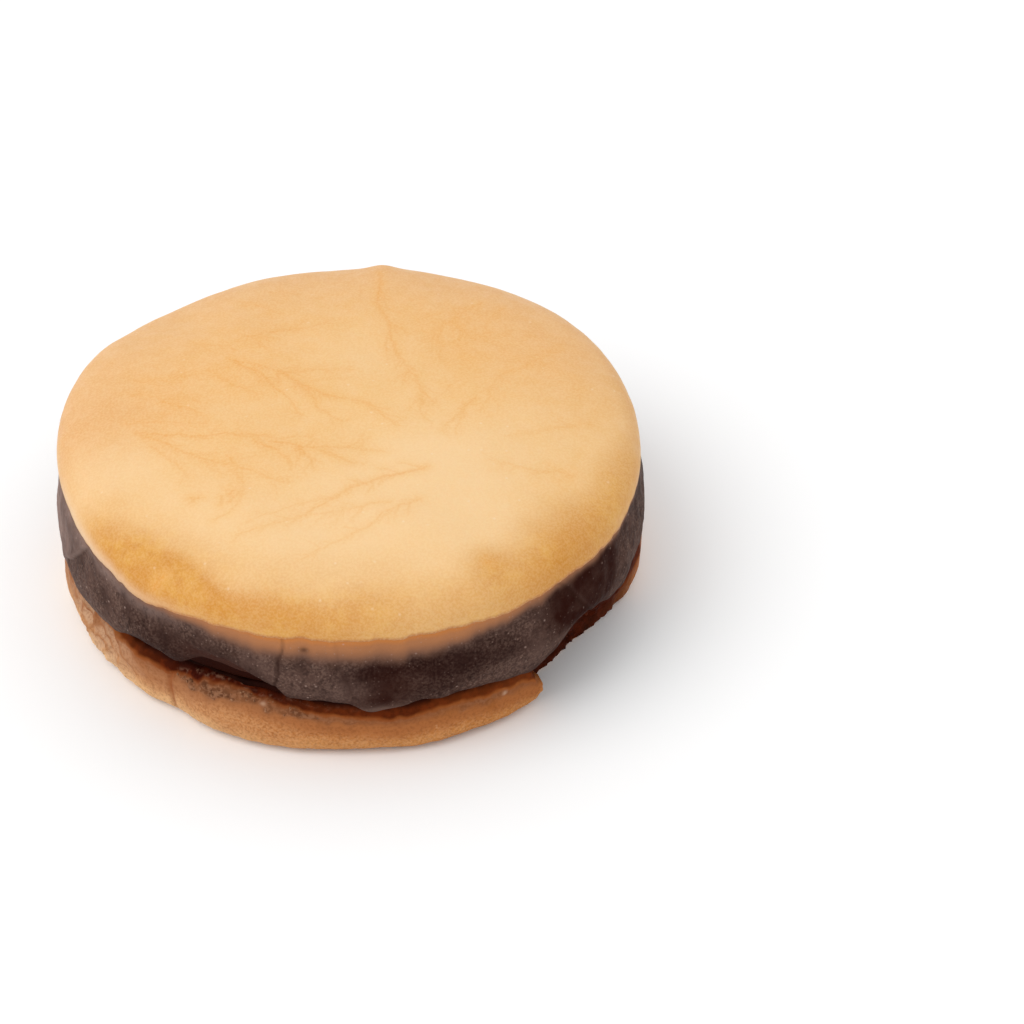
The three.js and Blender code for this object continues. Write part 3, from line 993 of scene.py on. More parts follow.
# %% Main veins
# (strength, waypoints as (x, y) in millimetres, from the start to the faint end)
VEINS = [
    (0.9, [(-13, 7), (-9, 3.5), (-6.5, 0), (-5, -3)]),
    (1.0, [(-8, 5), (-4.5, 2), (1.5, -0.5), (5, -4.5)]),
    (0.8, [(-5.5, 2.5), (-3.5, -1.5), (-0.5, -4)]),
    (0.7, [(-13.5, 7.5), (-7, 5), (-0.5, 6)]),
    (0.4, [(-5, 3), (1.5, 4)]),
    (0.7, [(-15, 5), (-11.5, 2), (-10, 0.5)]),
    (0.6, [(-23, 4.5), (-17.5, 5), (-13, 6)]),
    (0.7, [(-20.5, 0.5), (-16.5, -1.5), (-15, -3)]),
    (0.5, [(-23.5, 2.5), (-15, -0.5)]),
    (0.6, [(-24, -2.5), (-19.5, -3), (-15, -4)]),
    (0.8, [(-22.5, -4.5), (-15.5, -6), (-7, -7), (-3.5, -6.5)]),
    (0.8, [(-22, -5), (-14.5, -10), (-9.5, -12), (-5.5, -14)]),
    (0.6, [(-20.5, -7), (-17.5, -10.5), (-16, -12.5)]),
    (0.6, [(-12, -10), (-10.5, -14)]),
    (0.8, [(-9.5, -7.5), (-7, -9), (-5.5, -12)]),
    (0.8, [(-8, -7.5), (-4.5, -8.5), (4, -9)]),
    (0.8, [(-5, -8.5), (-3, -12)]),
    (0.7, [(-2.5, -9), (2, -11)]),
    (0.75, [(8.5, -11.5), (0.5, -15), (-3.5, -19), (-10.5, -21.5)]),
    (0.5, [(5, -17), (-0.5, -18.5), (-4, -19)]),
    (0.5, [(8, -16.5), (3, -20.5), (-2, -23.5), (-4, -25)]),
    (0.4, [(-0.5, -16.5), (-5, -17.5), (-9.5, -20)]),
    (1.0, [(2, 27), (2, 19.5), (3.5, 15.5), (4, 11.5), (6.5, 5), (9, -0.5)]),
    (0.6, [(3.5, 12), (4, 6.5)]),
    (0.6, [(6.5, 6), (5.5, 2.5)]),
    (0.7, [(7.5, 2), (8, -3.5)]),
    (0.8, [(14, 20.5), (11, 17), (8.5, 12)]),
    (0.7, [(11, 17), (11.5, 12), (12, 8)]),
    (0.6, [(9.5, 14), (9, 8)]),
    (0.5, [(9.5, 17.5), (7, 16)]),
    (0.5, [(16.5, 19.5), (13, 14)]),
    (0.7, [(13.5, 0.5), (10, -5.5)]),
    (0.6, [(12.5, -0.5), (11.5, -6)]),
    (0.4, [(12, 4), (8.5, -0.5)]),
    (0.8, [(-12, 12), (-5, 14), (-1.5, 15)]),
    (0.5, [(-18, 12), (-13, 9.5)]),
    (0.6, [(-14, 21), (-8.5, 17)]),
    (0.5, [(-12.5, 12.5), (-9, 9)]),
    (0.4, [(-11, 23), (-4, 20.5)]),
    (0.6, [(23, 12), (16, 5), (14, -2)]),
    (0.5, [(26, -2), (17, -6)]),
    (0.5, [(24, -11), (15, -10)]),
]

print("main veins:", len(VEINS))

# %% [markdown]
# Straight lines between the waypoints would look like scratches. Noise in the material could
# bend them, but the side shoots have to start on the bent line. So `wander` makes the line itself
# stray a little, and `turned` gives the direction of a shoot.

# %% A line that strays
def turned(way, degrees):
    cos, sin = math.cos(math.radians(degrees)), math.sin(math.radians(degrees))
    return np.array([way[0] * cos - way[1] * sin, way[0] * sin + way[1] * cos])


def wander(waypoints, rng, sway=0.11, pitch=0.45):
    """A line through the waypoints that strays a little on its way."""
    pieces = []
    for a, b in zip(waypoints[:-1], waypoints[1:]):
        count = max(2, int(np.linalg.norm(b - a) / pitch))
        stray = np.cumsum(rng.normal(0, sway, (count + 1, 2)), axis=0)
        stray -= stray[0] + np.linspace(0, 1, count + 1)[:, None] * (stray[-1] - stray[0])
        pieces.append((a + np.linspace(0, 1, count + 1)[:, None] * (b - a) + stray)[:-1])
    return np.concatenate(pieces + [waypoints[-1:]])


straight = np.array([[0.0, 0.0], [5.0, 0.0]])
print("points on 5 mm of vein:", len(wander(straight, np.random.default_rng(0))))

# %% [markdown]
# `grow` cuts a line into segments that get fainter on the way, and calls itself for the side
# shoots. They could be written out like the main veins, but there are hundreds of them. Chance
# places them within a few limits. It all comes from one generator with a fixed seed, so the same
# veins grow each time.

# %% Grow the veins
# Side shoots: how often a segment has one, how far it turns off and bends in degrees, how long it
# is in millimetres, and the shortest one that is drawn.
SHOOT_CHANCE = 0.42
SHOOT_ANGLE = (18, 44)
SHOOT_BEND = (-14, 14)
SHOOT_LENGTH = (0.7, 3.0)
SHORTEST_SHOOT = 0.5


def grow(waypoints, strength, rng, depth, segments):
    """Adds (x, y, x, y, strength) segments along the waypoints, with side shoots."""
    path = wander(waypoints, rng)
    count = len(path) - 1
    whole = np.linalg.norm(np.diff(path, axis=0), axis=1).sum()
    for n in range(count):
        fade = 1 - 0.55 * (n / count) ** 1.5
        segments.append((*path[n], *path[n + 1], strength * fade))
        if depth > 0 and rng.random() < SHOOT_CHANCE:
            way = path[n + 1] - path[n]
            way /= np.linalg.norm(way)
            ahead = turned(way, rng.uniform(*SHOOT_ANGLE) * rng.choice([-1, 1]))
            reach = min(rng.uniform(*SHOOT_LENGTH), 0.5 * whole)
            if reach > SHORTEST_SHOOT:
                bend = turned(ahead, rng.uniform(*SHOOT_BEND))
                middle = path[n] + ahead * reach * 0.5
                tip = path[n] + (ahead + bend) * reach * 0.5
                shoot = np.array([path[n], middle, tip])
                grow(shoot, strength * fade * 0.7, rng, depth - 1, segments)


vein_segments = []
vein_rng = np.random.default_rng(7)
for strength, waypoints in VEINS:
    grow(np.array(waypoints, dtype=float), strength, vein_rng, 2, vein_segments)
print("vein segments:", len(vein_segments))

# %% [markdown]
# There is one small blemish near the front left: a faint arc with a cluster of dark pores, where
# a bubble burst in the glaze. It could be a texture of its own, but a vein segment can be an arc
# or, when it is very short, a pore. So the blemish is added to the same list.

# %% Blemish
BUBBLE_ARC = [(-10.5, -13.0), (-10.2, -15.0), (-10.4, -16.8), (-11.3, -18.2), (-12.9, -19.2)]
# Clusters of pores: (x, y, spread, count).
PORES = [
    (-11.4, -16.0, 0.9, 30), (-15.2, -16.1, 0.5, 9), (-18.2, -25.0, 0.6, 8), (14.9, -24.2, 0.3, 5),
]
ARC_STRENGTH = 0.42
PORE_STRENGTH = (0.35, 0.8)

arc = wander(np.array(BUBBLE_ARC), vein_rng, sway=0.05)
vein_segments += [(*a, *b, ARC_STRENGTH) for a, b in zip(arc[:-1], arc[1:])]
for x, y, spread, count in PORES:
    for px, py in np.array([x, y]) + vein_rng.normal(0, spread * 0.6, (count, 2)):
        end = px + vein_rng.uniform(-0.2, 0.2)
        vein_segments.append((px, py, end, py + 0.05, vein_rng.uniform(*PORE_STRENGTH)))
vein_segments = np.array(vein_segments)
print("with the blemish:", len(vein_segments))

# %% [markdown]
# Painting a vein on the mesh means finding how far every point is from the nearest segment. Each
# point could be measured against each segment, but that is slow. With a grid of 2 mm cells a
# segment only looks at the points near it. The mask falls off in a straight line from the vein,
# because a straight slope stays exact between two points of the mesh, and the material later
# keeps only its top.

# %% Paint the veins
VEIN_REACH = 0.6
CELL = 2.0
# One number for each cell of the grid: its column times COLUMN_KEY, plus its row.
COLUMN_KEY = 1000


def paint_veins(points, segments, halo):
    flat = points.reshape(-1, 3)[:, :2]
    line, glow = np.zeros(len(flat)), np.zeros(len(flat))
    cell = np.floor(flat / CELL).astype(int)
    key = cell[:, 0] * COLUMN_KEY + cell[:, 1]
    order = np.argsort(key, kind="stable")
    ordered = key[order]
    for x0, y0, x1, y1, strength in segments:
        a, b = np.array([x0, y0]), np.array([x1, y1])
        mid = np.floor((a + b) / (2 * CELL)).astype(int)
        near = []
        for dx in (-1, 0, 1):
            for dy in (-1, 0, 1):
                wanted = (mid[0] + dx) * COLUMN_KEY + mid[1] + dy
                first, last = (np.searchsorted(ordered, wanted, end) for end in ("left", "right"))
                near.append(order[first:last])
        near = np.concatenate(near)
        along = b - a
        share = np.clip((flat[near] - a) @ along / (along @ along), 0, 1)
        d = np.linalg.norm(flat[near] - a - share[:, None] * along, axis=1)
        peak = (0.58 + 0.42 * strength) * (1 - d / VEIN_REACH)
        line[near] = np.maximum(line[near], peak)
        glow[near] = np.maximum(glow[near], strength * bell(d, halo))
    return line.reshape(points.shape[:2]), glow.reshape(points.shape[:2])


vein_line, vein_glow = paint_veins(lid_rings, vein_segments, halo=0.8)
on_dome = smooth(16.6, 17.6, lid_rings[..., 2])
vein_line, vein_glow = vein_line * on_dome, vein_glow * on_dome
print("share of points on a vein: %.3f" % (vein_line > 0.6).mean())

# %% [markdown]
# ### Masks of the lid
#
# The lid's colour changes over the dome. It is palest in a few soft zones and turns to ochre near
# the front rim where it baked hotter; the deepest ochre, at the front right, is painted shade. The
# back and the left of the rim are a little pinker and darker: partly the lid's own tone, partly
# painted shade and painted sheen. A gradient from the middle outwards would be the quick way, but
# it makes a target of the cookie. `OCHRE_START` says how far out the ochre begins, as a share of
# the radius, and `OCHRE_STRENGTH` how deep it gets.

# %% Zones of the lid
# (x, y, width, strength)
PALE_ZONES = [
    (-2, -22, 7.0, 1.0), (-25, -9, 5.0, 1.0), (9, -11, 5.5, 1.0), (-15, -18, 5.0, 0.6),
    (1, 9, 4.5, 0.6), (-13, -2, 4.0, 0.4), (14, -20, 6.0, 0.6), (20, -4, 6.0, 0.4),
    (-6, 22, 4.0, 0.3),
]
WARM_ZONES = [
    (-14, 6, 6.0, 0.7), (-21, -1, 4.0, 0.6), (-9, 14, 6.0, 0.5), (-10, -9, 5.0, 0.35),
    (12, 14, 6.0, 0.6), (22, 10, 7.0, 0.9), (3, 24, 6.0, 0.5), (-29.5, 1, 4.5, 1.0),
    (-25, 12, 5.0, 0.6),
]
OCHRE_PATCHES = [
    (-19.5, -23.5, 3.6, 0.55), (-25.0, -17.0, 2.6, 0.3), (-14.0, -27.0, 3.0, 0.5),
    (-5.5, -29.0, 3.0, 0.35), (15.0, -24.2, 1.4, 0.4), (3.0, -28.5, 4.0, 0.25),
]
# By angle: where the ochre starts, how strong it is, and how dark the line of the lip is.
# The early, strong ochre at -45 degrees is painted shade.
OCHRE_START = [
    (-175, 0.95), (-155, 0.93), (-135, 0.86), (-115, 0.87), (-100, 0.88), (-85, 0.86), (-65, 0.84),
    (-45, 0.74), (-25, 0.80), (0, 0.90), (60, 0.94), (120, 0.95),
]
OCHRE_STRENGTH = [
    (-175, 0.2), (-155, 0.1), (-148, 0.3), (-135, 0.95), (-118, 0.85), (-104, 0.6), (-90, 0.64),
    (-75, 0.4), (-60, 0.6), (-45, 1.0), (-25, 0.8), (0, 0.4), (60, 0.15), (120, 0.15),
]
LIP_LINE = [(-180, 0.3), (-131, 0.3), (-124, 1.0), (-40, 1.0), (0, 0.6)]


def zones(points, spots):
    return np.clip(soft_spots(points[..., 0], points[..., 1], spots), 0, 1)


print("pale share of the lid: %.2f" % (zones(lid_rings, PALE_ZONES) > 0.5).mean())

# %% [markdown]
# The dome also gets slow swells and fine grain, and the veins sink in by a hair. A bump in the
# material could do all of it, but only real shape changes the wide, weak highlight. The relief
# starts above the lip, so that the lid still closes on the filling.

# %% Relief of the lid
lid_side = smooth(16.0, 16.6, lid_rings[..., 2])
swell = 0.10 * grain(lid_rings, 17, 71) + 0.035 * grain(lid_rings, 7, 72)
swell += 0.012 * grain(lid_rings, 2.6, 73)
vein_dip = 0.006 * smooth(0.5, 0.9, vein_line)
relief = (swell * smooth(0.0, 2.0, lid_rings[..., 2] - 16.4) - vein_dip) * lid_side
lid_rings = pushed(lid_rings, relief)
print("relief of the lid: %.2f to %.2f mm" % (relief.min(), relief.max()))

# %% [markdown]
# The masks of the lid are worked out after its relief, from how far out and how high each point
# is. They could be painted by brush. As sums of zones they follow the wavy rim by themselves:
# `rim_share` is 1 on the rim at every angle, and `above_lip` is the height over the lower edge.

# %% Paint the lid
RIM_END = 0.985

above_lip = lid_rings[..., 2] - (lip_height(angles) + scallops(angles))[:, None]
rim_share = radius_of(lid_rings) / lid_radius(angles)[:, None]
near_rim = smooth(0.94, RIM_END, rim_share)
ochre_start = by_angle(OCHRE_START) + 0.02 * grain(lid_rings, 6, 81)
ochre = smooth(0, 1, (rim_share - ochre_start) / (RIM_END - ochre_start))
ochre *= by_angle(OCHRE_STRENGTH)
ochre += zones(lid_rings, OCHRE_PATCHES) * smooth(0.7, 0.85, rim_share)
# Pinker, darker back and left rim: partly the lid's own tone, partly painted shade and sheen.
pink = smooth(-10, 26, lid_rings[..., 1]) + swell_column([(-178, 13, 0.8)])
strip = swell_column([(-143, 15, 0.8)]) * (1 - smooth(0.3, 1.9, above_lip))
lid_masks = {
    "vein": vein_line,
    "vein_glow": vein_glow,
    "pale": zones(lid_rings, PALE_ZONES),
    "warm": zones(lid_rings, WARM_ZONES),
    "ochre": np.clip(ochre, 0, 1),
    "blush": np.clip(pink, 0, 1) * smooth(0.35, 1.0, rim_share),
    "pale_strip": strip * near_rim,
    "lip_line": (1 - smooth(0.05, 0.42, above_lip)) * near_rim * by_angle(LIP_LINE),
}
lid_piece = ring_mesh("glazed_lid", lid_rings, LID_BOTTOM, crown_height, lid_masks)

# %% [markdown]
# ## Syrup
#
# Where the filling draws back, thin syrup has seeped out and lies on the shoulder of the bottom
# biscuit. It is a narrow bead that follows the joint, thicker in the recesses. A curve with a
# round bevel would be the same all the way round. The bead is made like the layers, from a
# profile at every angle, but as a closed ring, like a bracelet: its last row joins its first.

# %% Syrup bead along the joint
def syrup_profile(a):
    open_gap = smooth(-0.3, 1.6, lower_edge(a) - FILLING_BOTTOM)
    thick = 0.16 + 0.16 * open_gap + 0.06 * grain(around_rim(a, 7), 2.2, 91)
    r = whole_wall(a) - 1.35 - 1.1 * open_gap - BREAK_DEPTH * 0.75 * break_share(a, 7.0)
    h = 7.45 + 0.1 * open_gap
    return stack([
        (r - 1.6, h - 0.25), (r - 0.4, h - 0.3), (r + 0.55, h - 0.45),
        (r + 0.85, h - 0.3 + thick * 0.25), (r + 0.5, h + thick * 0.8),
        (r - 0.3, h + thick), (r - 1.5, h + thick * 0.9),
    ])


def bracelet_mesh(name, points, masks):
    turns, rows = points.shape[:2]
    i, j = np.meshgrid(np.arange(turns), np.arange(rows), indexing="ij")
    quads = quads_between(i, j, (i + 1) % turns, (j + 1) % rows, rows)
    flat = {label: values.reshape(-1) for label, values in masks.items()}
    return new_mesh(name, points.reshape(-1, 3) * MM + centre, quads, flat)


syrup_rings = ring_points(finer(syrup_profile(angles), [3, 3, 3, 4, 4, 4]))
syrup_rings = pushed(syrup_rings, 0.04 * grain(syrup_rings, 1.6, 92))
# How dark the bead is: thick syrup, partly painted shade in the joint.
syrup_stain_and_shade = by_angle(STAIN_AND_SHADE_DEPTH) + 0 * syrup_rings[..., 2]
syrup_piece = bracelet_mesh("syrup_bead", syrup_rings, {"stain_and_shade_depth": syrup_stain_and_shade})

# %% [markdown]
# ## Crumbs
#
# A torn edge keeps small loose crumbs, and the rough crust beside the hollow has some too. A
# particle system could scatter them, but it may leave some in the air. Here each crumb is put on
# a point of the biscuit's own mesh, half sunk into it. A crumb is a lumpy pebble with a few
# dozen faces, and all of one kind go into one mesh.

# %% Crumbs
import bmesh


def crumbs_mesh(name, spots, seed):
    rng = np.random.default_rng(seed)
    pile = bmesh.new()
    for place, size in spots:
        made = bmesh.ops.create_icosphere(pile, subdivisions=2, radius=1.0)
        squash = rng.uniform(0.65, 1.2, 3)
        shift = place * np.array([3.1, 2.3, 1.7])
        for vert in made["verts"]:
            co = np.array(vert.co) * squash
            co *= 1 + 0.3 * float(grain(co[None] + shift, 1.1, seed))
            vert.co = (co * size + place) * MM + centre
    mesh = bpy.data.meshes.new(name)
    pile.to_mesh(mesh)
    pile.free()
    print(f"{name}: {len(spots)} crumbs")
    return placed(name, mesh)


def crumb_spots(where, count, small, large, rng):
    candidates = np.argwhere(where)
    chosen = candidates[rng.choice(len(candidates), count, replace=False)]
    return [(base_rings[i, j], rng.uniform(small, large)) for i, j in chosen]


crumb_rng = np.random.default_rng(17)
torn_wall = (broken > 0.75) & (height > 0.7) & (height < 7.2) & (radius > 27)
rough_crust = (crust > 0.45) & (height > 5.0) & (radius > 29.0) & (broken < 0.1)
torn_spots = crumb_spots(torn_wall, 26, small=0.12, large=0.28, rng=crumb_rng)
torn_piece = crumbs_mesh("torn_crumbs", torn_spots, 19)
crust_spots = crumb_spots(rough_crust, 90, small=0.06, large=0.17, rng=crumb_rng)
crust_piece = crumbs_mesh("crust_crumbs", crust_spots, 23)

# %% [markdown]
# ## Finishes
#
# Colours are picked as they look in daylight and turned into the linear values that Blender's
# shaders work with. The studio light is a little stronger than one, so each colour is divided
# by `LIGHT`: that gives how much light the surface itself sends back. The side walls get less
# light than the crown, so they have a value of their own. The lamps could be dimmed instead,
# but then the floor would turn grey.

# %% Colours
LIGHT, WALL_LIGHT = 1.2, 1.05
WHITE = (1.0, 1.0, 1.0, 1.0)


def seen(r, g, b, light=LIGHT):
    """Surface colour that looks like this 0-255 colour in the studio's light."""
    linear = []
    for value in (r, g, b):
        v = value / 255
        linear.append((v / 12.92 if v <= 0.04045 else ((v + 0.055) / 1.055) ** 2.4) / light)
    return (*linear, 1.0)


def seen_low(r, g, b):
    return seen(r, g, b, WALL_LIGHT)


print("pale glaze:", np.round(seen(247, 206, 152), 3))

# %% [markdown]
# A node tree is usually wired by hand in the shader editor. Written as code it can be read from
# top to bottom, and a few short helpers keep it readable. `Wiring` adds a node and links or sets
# what it is given, in one call.

# %% Add and link nodes
class Wiring:
    def __init__(self, tree):
        self.tree = tree
        self.place = None

    def link(self, source, target):
        self.tree.links.new(source, target)

    def feed(self, value, socket):
        """A number or a colour is set on the socket, and an output is linked to it."""
        if isinstance(value, (int, float, tuple)):
            socket.default_value = value
        else:
            self.link(value, socket)

    def add(self, kind, **settings):
        node = self.tree.nodes.new(kind)
        for key, value in settings.items():
            if key in node.inputs:
                self.feed(value, node.inputs[key])
            else:
                setattr(node, key, value)
        return node


print("helpers:", [name for name in vars(Wiring) if not name.startswith("_")])

# %% [markdown]
# `Sums` adds what shapes a share: a painted mask, noise, and small sums. Each could be a Math
# node typed in by hand. With names like `times`, `rest` and `largest` a share reads like a
# sentence. `span` picks a range out of a value and gives it soft ends.

# %% Masks, noise and sums
class Sums(Wiring):
    def mask(self, name):
        return self.add("ShaderNodeAttribute", attribute_name=name).outputs["Fac"]

    def noise(self, scale, detail):
        node = self.add("ShaderNodeTexNoise", Vector=self.place, Scale=scale, Detail=detail)
        return node.outputs["Fac"]

    def span(self, value, low, high, out_low=0.0, out_high=1.0):
        """Turns the range from low to high into another one, with soft ends."""
        ends = {"From Min": low, "From Max": high, "To Min": out_low, "To Max": out_high}
        node = self.add("ShaderNodeMapRange", interpolation_type="SMOOTHSTEP", Value=value, **ends)
        return node.outputs["Result"]

    def math(self, operation, a, b):
        node = self.add("ShaderNodeMath", operation=operation)
        self.feed(a, node.inputs[0])
        self.feed(b, node.inputs[1])
        return node.outputs[0]

    def times(self, a, b):
        return self.math("MULTIPLY", a, b)

    def plus(self, a, b):
        return self.math("ADD", a, b)

    def rest(self, share):
        """What is left of the whole."""
        return self.math("SUBTRACT", 1.0, share)

    def largest(self, first, *others):
        for other in others:
            first = self.math("MAXIMUM", first, other)
        return first

    def part(self, share, mask):
        return self.times(self.mask(mask), share)


print("helpers:", [name for name in vars(Sums) if not name.startswith("_")])

# %% [markdown]
# `Tree` adds colour. `coats` lays one colour after the other over the first, as a cook would,
# each only where its share says. A long chain of Mix nodes could be written out each time, but in
# a list of coats the order of the layers can be seen at once.

# %% Coats of colour
# A Mix node has sockets for numbers, vectors and colours. These are the ones for colours.
MIX_SHARE, MIX_A, MIX_B, MIX_RESULT = 0, 6, 7, 2


class Tree(Sums):
    def blend(self, share, a, b):
        """Colour a, turning to colour b where share is 1."""
        node = self.add("ShaderNodeMix", data_type="RGBA")
        self.feed(share, node.inputs[MIX_SHARE])
        self.feed(a, node.inputs[MIX_A])
        self.feed(b, node.inputs[MIX_B])
        return node.outputs[MIX_RESULT]

    def coats(self, color, layers):
        """layers: (share, colour) pairs, from the lowest to the uppermost."""
        for share, coat in layers:
            color = self.blend(share, color, coat)
        return color


print("helpers:", [name for name in vars(Tree) if not name.startswith("_")])

# %% [markdown]
# ### Effects that several finishes share
#
# Sugar glaze is full of tiny pale specks, and its bloom comes and goes in clouds. Both effects
# could be wired again in every material. As node groups they are built once, and each finish
# uses them with its own sizes. The specks are the middles of Voronoi cells, of which only a
# share is kept.

# %% Group: pale sugar specks
def new_group(name, inputs, output):
    """inputs: name to default value, beside the place, which every group reads."""
    group = bpy.data.node_groups.new(name, "ShaderNodeTree")
    group.interface.new_socket("Place", in_out="INPUT", socket_type="NodeSocketVector")
    for label, default in inputs.items():
        socket = group.interface.new_socket(label, in_out="INPUT", socket_type="NodeSocketFloat")
        socket.default_value = default
    group.interface.new_socket(output, in_out="OUTPUT", socket_type="NodeSocketFloat")
    t = Tree(group)
    return group, t, t.add("NodeGroupInput").outputs, t.add("NodeGroupOutput").inputs[output]


def sugar_specks_group():
    sizes = {"Scale": 900.0, "Amount": 0.3, "Size": 0.2}
    group, t, given, specks = new_group("sugar_specks", sizes, "Specks")
    cells = t.add("ShaderNodeTexVoronoi", Vector=given["Place"], Scale=given["Scale"])
    ends = {"From Max": given["Size"], "To Min": 1.0, "To Max": 0.0}
    dot = t.add("ShaderNodeMapRange", Value=cells.outputs["Distance"], **ends)
    split = t.add("ShaderNodeSeparateColor", Color=cells.outputs["Color"])
    kept = t.math("LESS_THAN", split.outputs[0], given["Amount"])
    t.link(t.times(dot.outputs["Result"], kept), specks)
    return group


specks_group = sugar_specks_group()
print("group:", specks_group.name)

# %% [markdown]
# Clouds are plain noise with its middle range stretched, so that some places are clear and others
# covered. A Color Ramp could stretch it, but its stops can't be inputs of a group. A Map Range
# node can take both limits from outside, so each finish sets how much is covered.

# %% Group: clouds of bloom
def clouds_group():
    sizes = {"Scale": 120.0, "Low": 0.35, "High": 0.65}
    group, t, given, clouds = new_group("bloom_clouds", sizes, "Clouds")
    noise = t.add("ShaderNodeTexNoise", Vector=given["Place"], Scale=given["Scale"], Detail=4.0)
    noise.inputs["Roughness"].default_value = 0.55
    t.link(t.span(noise.outputs["Fac"], given["Low"], given["High"]), clouds)
    return group


bloom_group = clouds_group()
print("group:", bloom_group.name)

# %% [markdown]
# Each finish could be wired from its first node to its last, but all of them start and end in
# the same way, so those ends are helpers. A finish reads the place on the object, and the patterns
# stay on the cookie when it is moved. It ends with a colour, a roughness that varies, one even
# specular level, and a small bump for grain that is too fine for the mesh.

# %% Start and end of a finish
def new_finish(name):
    material = bpy.data.materials.new(name)
    material.use_nodes = True
    t = Tree(material.node_tree)
    t.place = t.add("ShaderNodeTexCoord").outputs["Object"]
    return material, t, material.node_tree.nodes["Principled BSDF"]


def from_group(t, group, **values):
    node = t.add("ShaderNodeGroup", node_tree=group)
    t.link(t.place, node.inputs["Place"])
    for key, value in values.items():
        node.inputs[key].default_value = value
    return node.outputs[0]


def specks_at(t, scale, amount, size):
    return from_group(t, specks_group, Scale=scale, Amount=amount, Size=size)


def clouds_at(t, scale, low, high):
    return from_group(t, bloom_group, Scale=scale, Low=low, High=high)


def add_surface(t, shader, color, roughness, specular):
    t.link(color, shader.inputs["Base Color"])
    t.link(roughness, shader.inputs["Roughness"])
    shader.inputs["Specular IOR Level"].default_value = specular


def add_bump(t, shader, height, depth, strength):
    bump = t.add("ShaderNodeBump", Strength=strength, Distance=depth, Height=height)
    t.link(bump.outputs["Normal"], shader.inputs["Normal"])


print("materials so far:", len(bpy.data.materials))

# %% [markdown]
# ### The glaze on the lid
#
# Pale amber, a little deeper towards the rim where the baked edge shines through, with painted
# shade in the deepest ochre at the front right, and painted shade and sheen in the pinker back
# and left rim. Faint orange veins, soft clouds, and pale pinholes lie over it. The surface is
# satin, so its highlight is wide and weak. Real glaze is a clear layer over dough, and it could be
# modelled as one. A little subsurface light in a single layer gives the same soft look, and it
# stays easy to render.

# %% Finish of the lid
def lid_finish():
    material, t, shader = new_finish("amber_glaze")
    color = t.blend(clouds_at(t, 95, 0.30, 0.70), seen(242, 189, 118), seen(246, 197, 132))
    patches = t.times(clouds_at(t, 230, 0.36, 0.66), clouds_at(t, 800, 0.25, 0.6))
    ochre = t.blend(patches, seen(212, 141, 48), seen(224, 161, 68))
    sugar = t.times(clouds_at(t, 4200, 0.38, 0.62), t.span(t.mask("ochre"), 0, 1, 0.26, 0.15))
    color = t.coats(color, [
        (t.part(0.85, "pale"), seen(249, 209, 156)),
        (t.part(0.85, "warm"), seen(241, 181, 108)),
        # blush: partly painted shade and sheen on the back and left rim
        (t.part(0.9, "blush"), seen(233, 174, 112)),
        (t.times(clouds_at(t, 420, 0.35, 0.70), 0.18), seen(251, 214, 166)),
        # ochre: the baked rim, with painted shade in its deepest part at the front right
        (t.part(0.95, "ochre"), ochre),
        (t.part(0.45, "vein_glow"), seen(241, 178, 98)),
        (t.times(t.span(t.mask("vein"), 0.42, 1.0), 0.42), seen(234, 158, 66)),
        (t.part(0.85, "pale_strip"), seen(242, 203, 168)),
        (t.part(0.9, "lip_line"), seen(192, 120, 68)),
        (sugar, seen(255, 222, 168)),
        (t.times(specks_at(t, 760, 0.16, 0.16), 0.42), seen(254, 232, 200)),
    ])
    add_surface(t, shader, color, t.span(t.noise(900, 3), 0.3, 0.7, 0.42, 0.54), specular=0.2)
    shader.inputs["Subsurface Weight"].default_value = 0.12
    shader.inputs["Subsurface Radius"].default_value = (0.0020, 0.0011, 0.0006)
    shader.inputs["Subsurface Scale"].default_value = 1.0
    pores = t.plus(t.noise(2600, 3), t.times(t.noise(500, 2), 1.2))
    add_bump(t, shader, pores, depth=0.00004, strength=0.5)
    return material


lid_glaze = lid_finish()
print(lid_glaze.name, "has", len(lid_glaze.node_tree.nodes), "nodes")

# %% [markdown]
# ### The filling's skin
#
# Almost black caramel under a thin glaze. The dried sugar gives a grey-purple bloom with a fine
# haze and tiny pits. One grey would be quicker, but the eye sees at once that the patches are
# missing. So the colour is built up: dark caramel, its patches, the frost at the far left, which
# is partly painted sheen, then haze and pits. The haze and the crystals stay away from the dark
# and the wine-red spots, which are bare: `keep` is what is left for them.

# %% Caramel with bloom and painted sheen
def kept_haze(t, patches):
    dull_or_red = t.largest(t.mask("dull"), t.part(0.8, "reddish"), t.part(0.8, "thin_edge_and_shade"))
    return t.rest(t.times(t.largest(t.times(patches, 0.6), dull_or_red), 0.7))


def caramel_skin(t, patches, keep):
    color = t.blend(clouds_at(t, 260, 0.38, 0.62), seen_low(60, 39, 32), seen_low(80, 57, 49))
    # Frost at the far left, partly painted sheen.
    frosted_and_sheen = t.times(t.mask("bloom"), t.span(t.noise(260, 4), 0.38, 0.62, 0.55, 1.0))
    haze = t.times(clouds_at(t, 3600, 0.40, 0.62), clouds_at(t, 500, 0.25, 0.6))
    pit_share = t.span(t.mask("bloom"), 0.0, 1.0, 0.42, 0.16)
    return t.coats(color, [
        (t.times(patches, 0.62), seen_low(44, 23, 16)),
        (t.part(0.75, "greyish"), seen_low(88, 66, 59)),
        (t.part(0.9, "dull"), seen_low(36, 13, 9)),
        # far-left frost, partly painted sheen
        (frosted_and_sheen, seen_low(142, 119, 111)),
        (t.times(t.times(haze, 0.46), keep), seen_low(122, 96, 84)),
        (t.times(clouds_at(t, 1700, 0.54, 0.66), pit_share), seen_low(28, 11, 7)),
    ])


print("bloom in daylight:", np.round(seen_low(142, 119, 111), 3))

